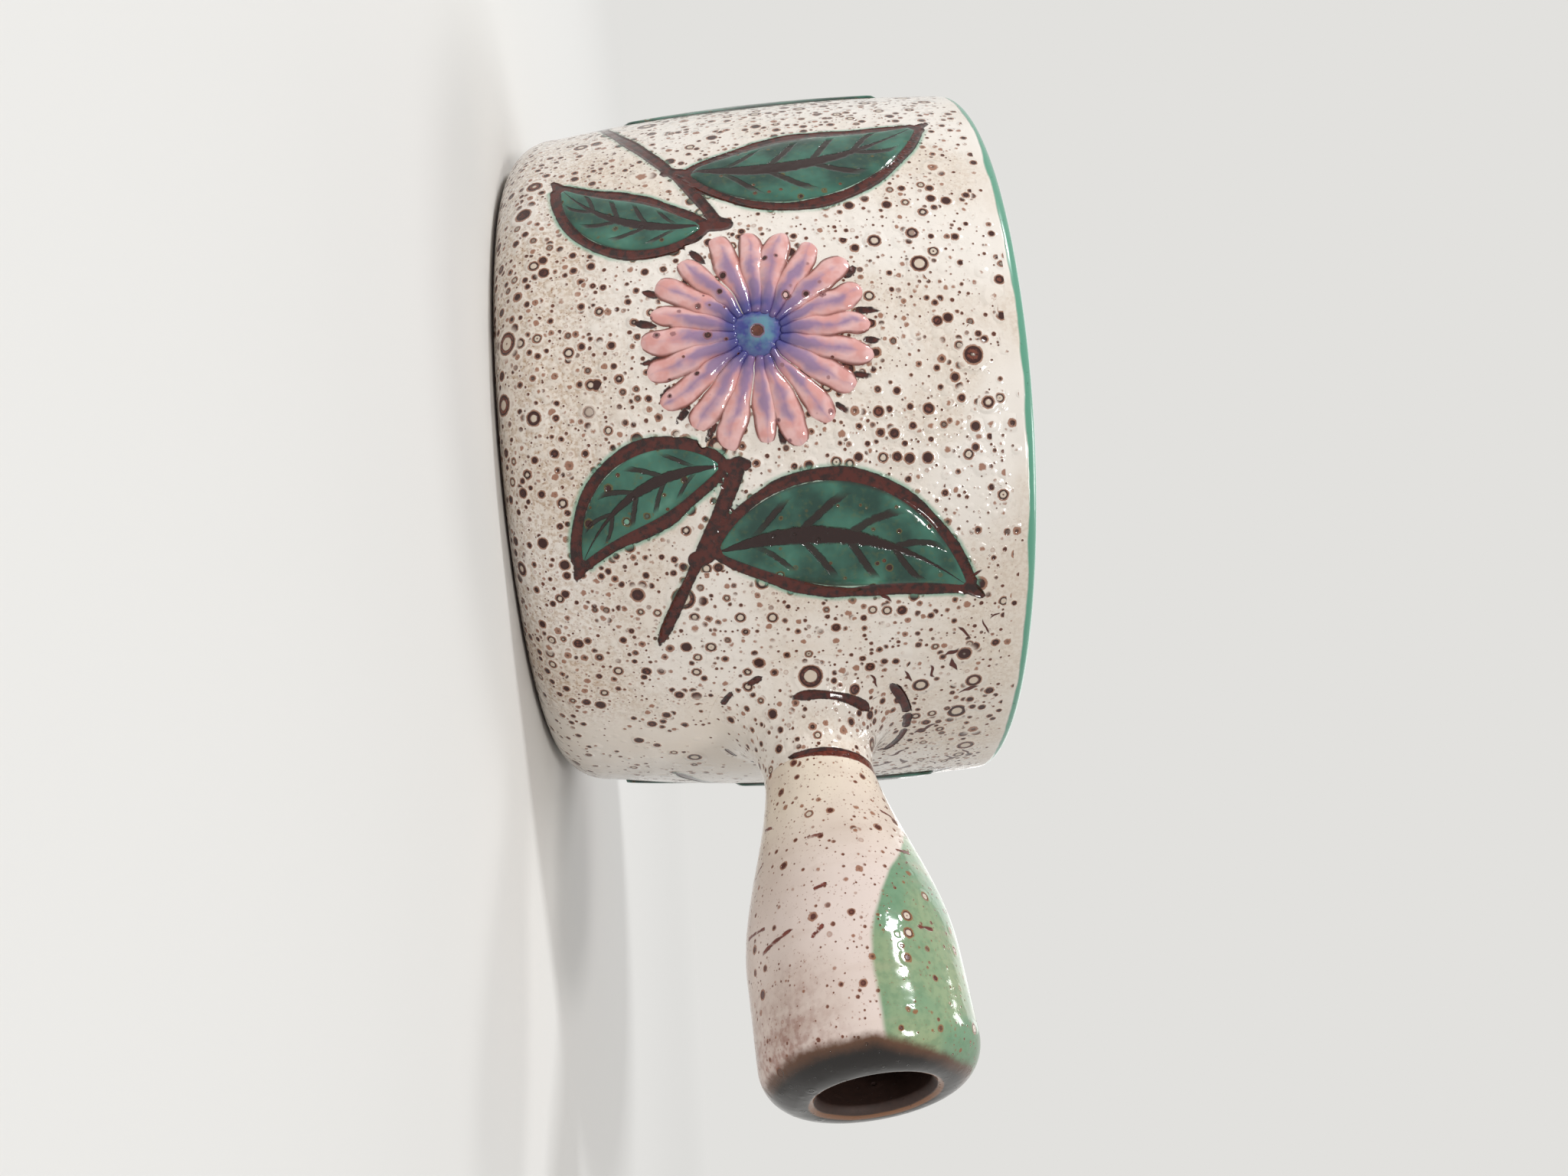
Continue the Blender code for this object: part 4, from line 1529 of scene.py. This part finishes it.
def heart_enamel():
    material, bench, shader = new_finish("heart_enamel")
    place = millimetres(bench)
    middle = attribute(bench, "heart_mm")
    slow = noise(bench, place, 4.0, 3.0, 9.0)
    fine = noise(bench, place, 0.8, 2.0, 5.0)
    crater = middle + (fine - 0.5) * 0.5
    blue = bench.blend(slow.over(0.35, 0.6), HEART_BLUE, HEART_PALE)
    blue = bench.blend(middle.over(2.6, 4.6) * 0.8, blue, HEART_VIOLET)
    blue = bench.blend(fine.over(0.5, 0.8) * 0.4, blue, HEART_MAUVE)
    ringed = bench.blend(crater.over(1.5, 1.3), blue, HEART_RING)
    hole = bench.blend(fine, CRATER_RED, CRATER_DARK)
    colour = bench.blend(crater.over(1.2, 1.0), ringed, hole)
    relief = slow * 0.3 - crater.over(1.3, 0.8) * 0.4
    set_surface(bench, shader, colour, 0.09 + fine * 0.05, relief)
    return material


HEART_ENAMEL = heart_enamel()
print("heart enamel:", len(HEART_ENAMEL.node_tree.nodes), "nodes")

# %% Hearts
HEART_STEPS, HEART_RINGS = 48, 14
HEART_LIFT = 1.3


def flat_heart(name):
    points = [(0.0, BLOOM_HEIGHT * MM, HEART_LIFT * MM)]
    for i in range(1, HEART_RINGS + 1):
        share = i / HEART_RINGS
        radius = HEART_RADIUS * 1.02 * share
        lift = HEART_LIFT * math.cos(math.pi / 2.0 * share) - 0.25 * share
        for j in range(HEART_STEPS):
            angle = math.tau * j / HEART_STEPS
            wave = 1.0 + 0.03 * math.sin(3.0 * angle + 0.7) + 0.02 * math.sin(5.0 * angle)
            x = radius * wave * math.cos(angle)
            y = BLOOM_HEIGHT + radius * wave * math.sin(angle)
            points.append((x * MM, y * MM, lift * MM))
    faces = [(0, 1 + j, 1 + (j + 1) % HEART_STEPS) for j in range(HEART_STEPS)]
    for i in range(HEART_RINGS - 1):
        first = 1 + i * HEART_STEPS
        for j in range(HEART_STEPS):
            a, b = first + j, first + (j + 1) % HEART_STEPS
            faces.append((a, a + HEART_STEPS, b + HEART_STEPS, b))
    faces.append(range(len(points) - 1, len(points) - 1 - HEART_STEPS, -1))
    reaches = [math.hypot(x, y - BLOOM_HEIGHT * MM) / MM for x, y, _ in points]
    return mesh_of(name, points, faces, heart_mm=reaches)


for place, azimuth in BLOOMS.items():
    values = {"Azimuth": math.radians(azimuth), "Material": HEART_ENAMEL}
    heart = run_tree("enamel_" + place + "_heart", LAY_ON_WALL, values, flat_heart(place))
    stands_for(heart, place + "_heart")
bpy.data.objects.remove(drawn_lines)

# %% [markdown]
# ## The studio
#
# A pale floor and a pale world of the same colour give a quiet room. The floor fades into the
# world with distance, so no horizon shows. One window-like lamp gives the glaze its bright
# reflections, and three softer ones fill the other sides.

# %% Floor and world
PALE = rgb(226, 225, 222)
WHITE = (1.0, 1.0, 1.0, 1.0)
FLOOR_HALF = 12
FADE_START, FADE_END = 0.25, 0.85
WORLD_STRENGTH = 0.38


def shown(bench):
    """1 where the surface is seen by the camera, in a reflection or through glass."""
    rays = ("Is Camera Ray", "Is Glossy Ray", "Is Transmission Ray")
    seen, glossy, through = bench.node("ShaderNodeLightPath", None, None, rays)
    return seen.at_least(glossy).at_least(through)


def floor_finish():
    material, bench, shader = new_finish("pale_floor")
    shader.inputs["Roughness"].default_value = 0.9
    shader.inputs["Base Color"].default_value = PALE
    place = bench.node("ShaderNodeTexCoord", None, None, "Object")
    distance = bench.vector("LENGTH", place, out="Value")
    far = distance.over(FADE_START, FADE_END) * shown(bench)
    glow = bench.node("ShaderNodeEmission", None, {"Color": PALE, "Strength": 1.0})
    lit = Wire(bench, shader.outputs["BSDF"])
    mixed = bench.node("ShaderNodeMixShader", None, [far, lit, glow])
    end = next(node for node in bench.tree.nodes if node.type == "OUTPUT_MATERIAL")
    bench.tree.links.new(mixed.socket, end.inputs["Surface"])
    return material


corners = [(x * FLOOR_HALF, y * FLOOR_HALF, 0) for x, y in ((-1, -1), (1, -1), (1, 1), (-1, 1))]
floor = put_object("floor", mesh_of("floor", corners, [(0, 1, 2, 3)]))
floor.data.materials.append(floor_finish())

world = bpy.data.worlds.new("pale_room")
bpy.context.scene.world = world
world.use_nodes = True
world.node_tree.nodes.clear()
room = Bench(world.node_tree)
dim = room.node("ShaderNodeBackground", None, {"Color": WHITE, "Strength": WORLD_STRENGTH})
pale = room.node("ShaderNodeBackground", None, {"Color": PALE, "Strength": 1.0})
mixed = room.node("ShaderNodeMixShader", None, [shown(room), dim, pale])
room.ends_in("ShaderNodeOutputWorld", "Surface", mixed)
print("floor and world ready")

# %% Lamps
PAN_MIDDLE = Vector((0.03, 0.0, 0.05))
# name, place, size, power, colour
LAMPS = (
    ("window", (-0.5, -1.0, 1.0), (0.12, 0.24), 10.5, (0.97, 0.985, 1.0)),
    ("fill", (1.0, -0.9, 0.9), (0.25, 0.25), 8.0, (1.0, 0.98, 0.96)),
    ("overhead", (-0.2, 0.3, 1.4), (0.3, 0.3), 3.0, (1.0, 1.0, 1.0)),
    ("back", (-0.9, 1.1, 0.9), (1.3, 1.3), 5.0, (1.0, 1.0, 1.0)),
)

for name, place, size, power, colour in LAMPS:
    light = bpy.data.lights.new(name, "AREA")
    light.shape = "RECTANGLE"
    light.size, light.size_y = size
    light.energy = power
    light.color = colour
    lamp = put_object(name, light)
    lamp.location = place
    lamp.rotation_euler = (PAN_MIDDLE - Vector(place)).to_track_quat("-Z", "Y").to_euler()
print(len(LAMPS), "lamps")

# %% [markdown]
# ## The camera
#
# The pan in the photograph lies on its side, its rim to the right and its handle towards the
# viewer. Here it stands upright, and the camera is turned by the same angle instead. Its
# place and its lens were found by fitting the outline of the drum and the handle.

# %% Camera
CAMERA_DISTANCE = 3.7578 * RIM_RADIUS * MM
CAMERA_HEIGHT = 0.4752 * RIM_RADIUS * MM
CAMERA_AZIMUTH = math.radians(-43.76)
CAMERA_YAW = 0.1096
CAMERA_PITCH = 0.0602
CAMERA_ROLL = 1.4934
SENSOR_WIDTH = 36.0
LENS = 1583.8 * SENSOR_WIDTH / 2048.0

turn = Matrix.Rotation(CAMERA_AZIMUTH + math.pi / 2.0, 3, "Z")
ahead = Vector((
    math.sin(CAMERA_YAW) * math.cos(CAMERA_PITCH),
    math.cos(CAMERA_YAW) * math.cos(CAMERA_PITCH),
    math.sin(CAMERA_PITCH),
))
level = Vector((math.cos(CAMERA_YAW), -math.sin(CAMERA_YAW), 0.0))
above = level.cross(ahead)
picture_right = math.cos(CAMERA_ROLL) * level + math.sin(CAMERA_ROLL) * above
picture_up = -math.sin(CAMERA_ROLL) * level + math.cos(CAMERA_ROLL) * above
axes = Matrix([turn @ picture_right, turn @ picture_up, turn @ -ahead]).transposed()
camera_data = bpy.data.cameras.new("camera")
camera_data.lens = LENS
camera_data.sensor_width = SENSOR_WIDTH
camera_data.sensor_fit = "HORIZONTAL"
camera_data.clip_start = 0.01
camera = put_object("camera", camera_data)
place = turn @ Vector((0.0, -CAMERA_DISTANCE, CAMERA_HEIGHT))
camera.matrix_world = Matrix.Translation(place) @ axes.to_4x4()
bpy.context.scene.camera = camera
bpy.context.scene.view_settings.view_transform = "Standard"
print("camera at", [round(v, 3) for v in place], "lens", round(LENS, 2))
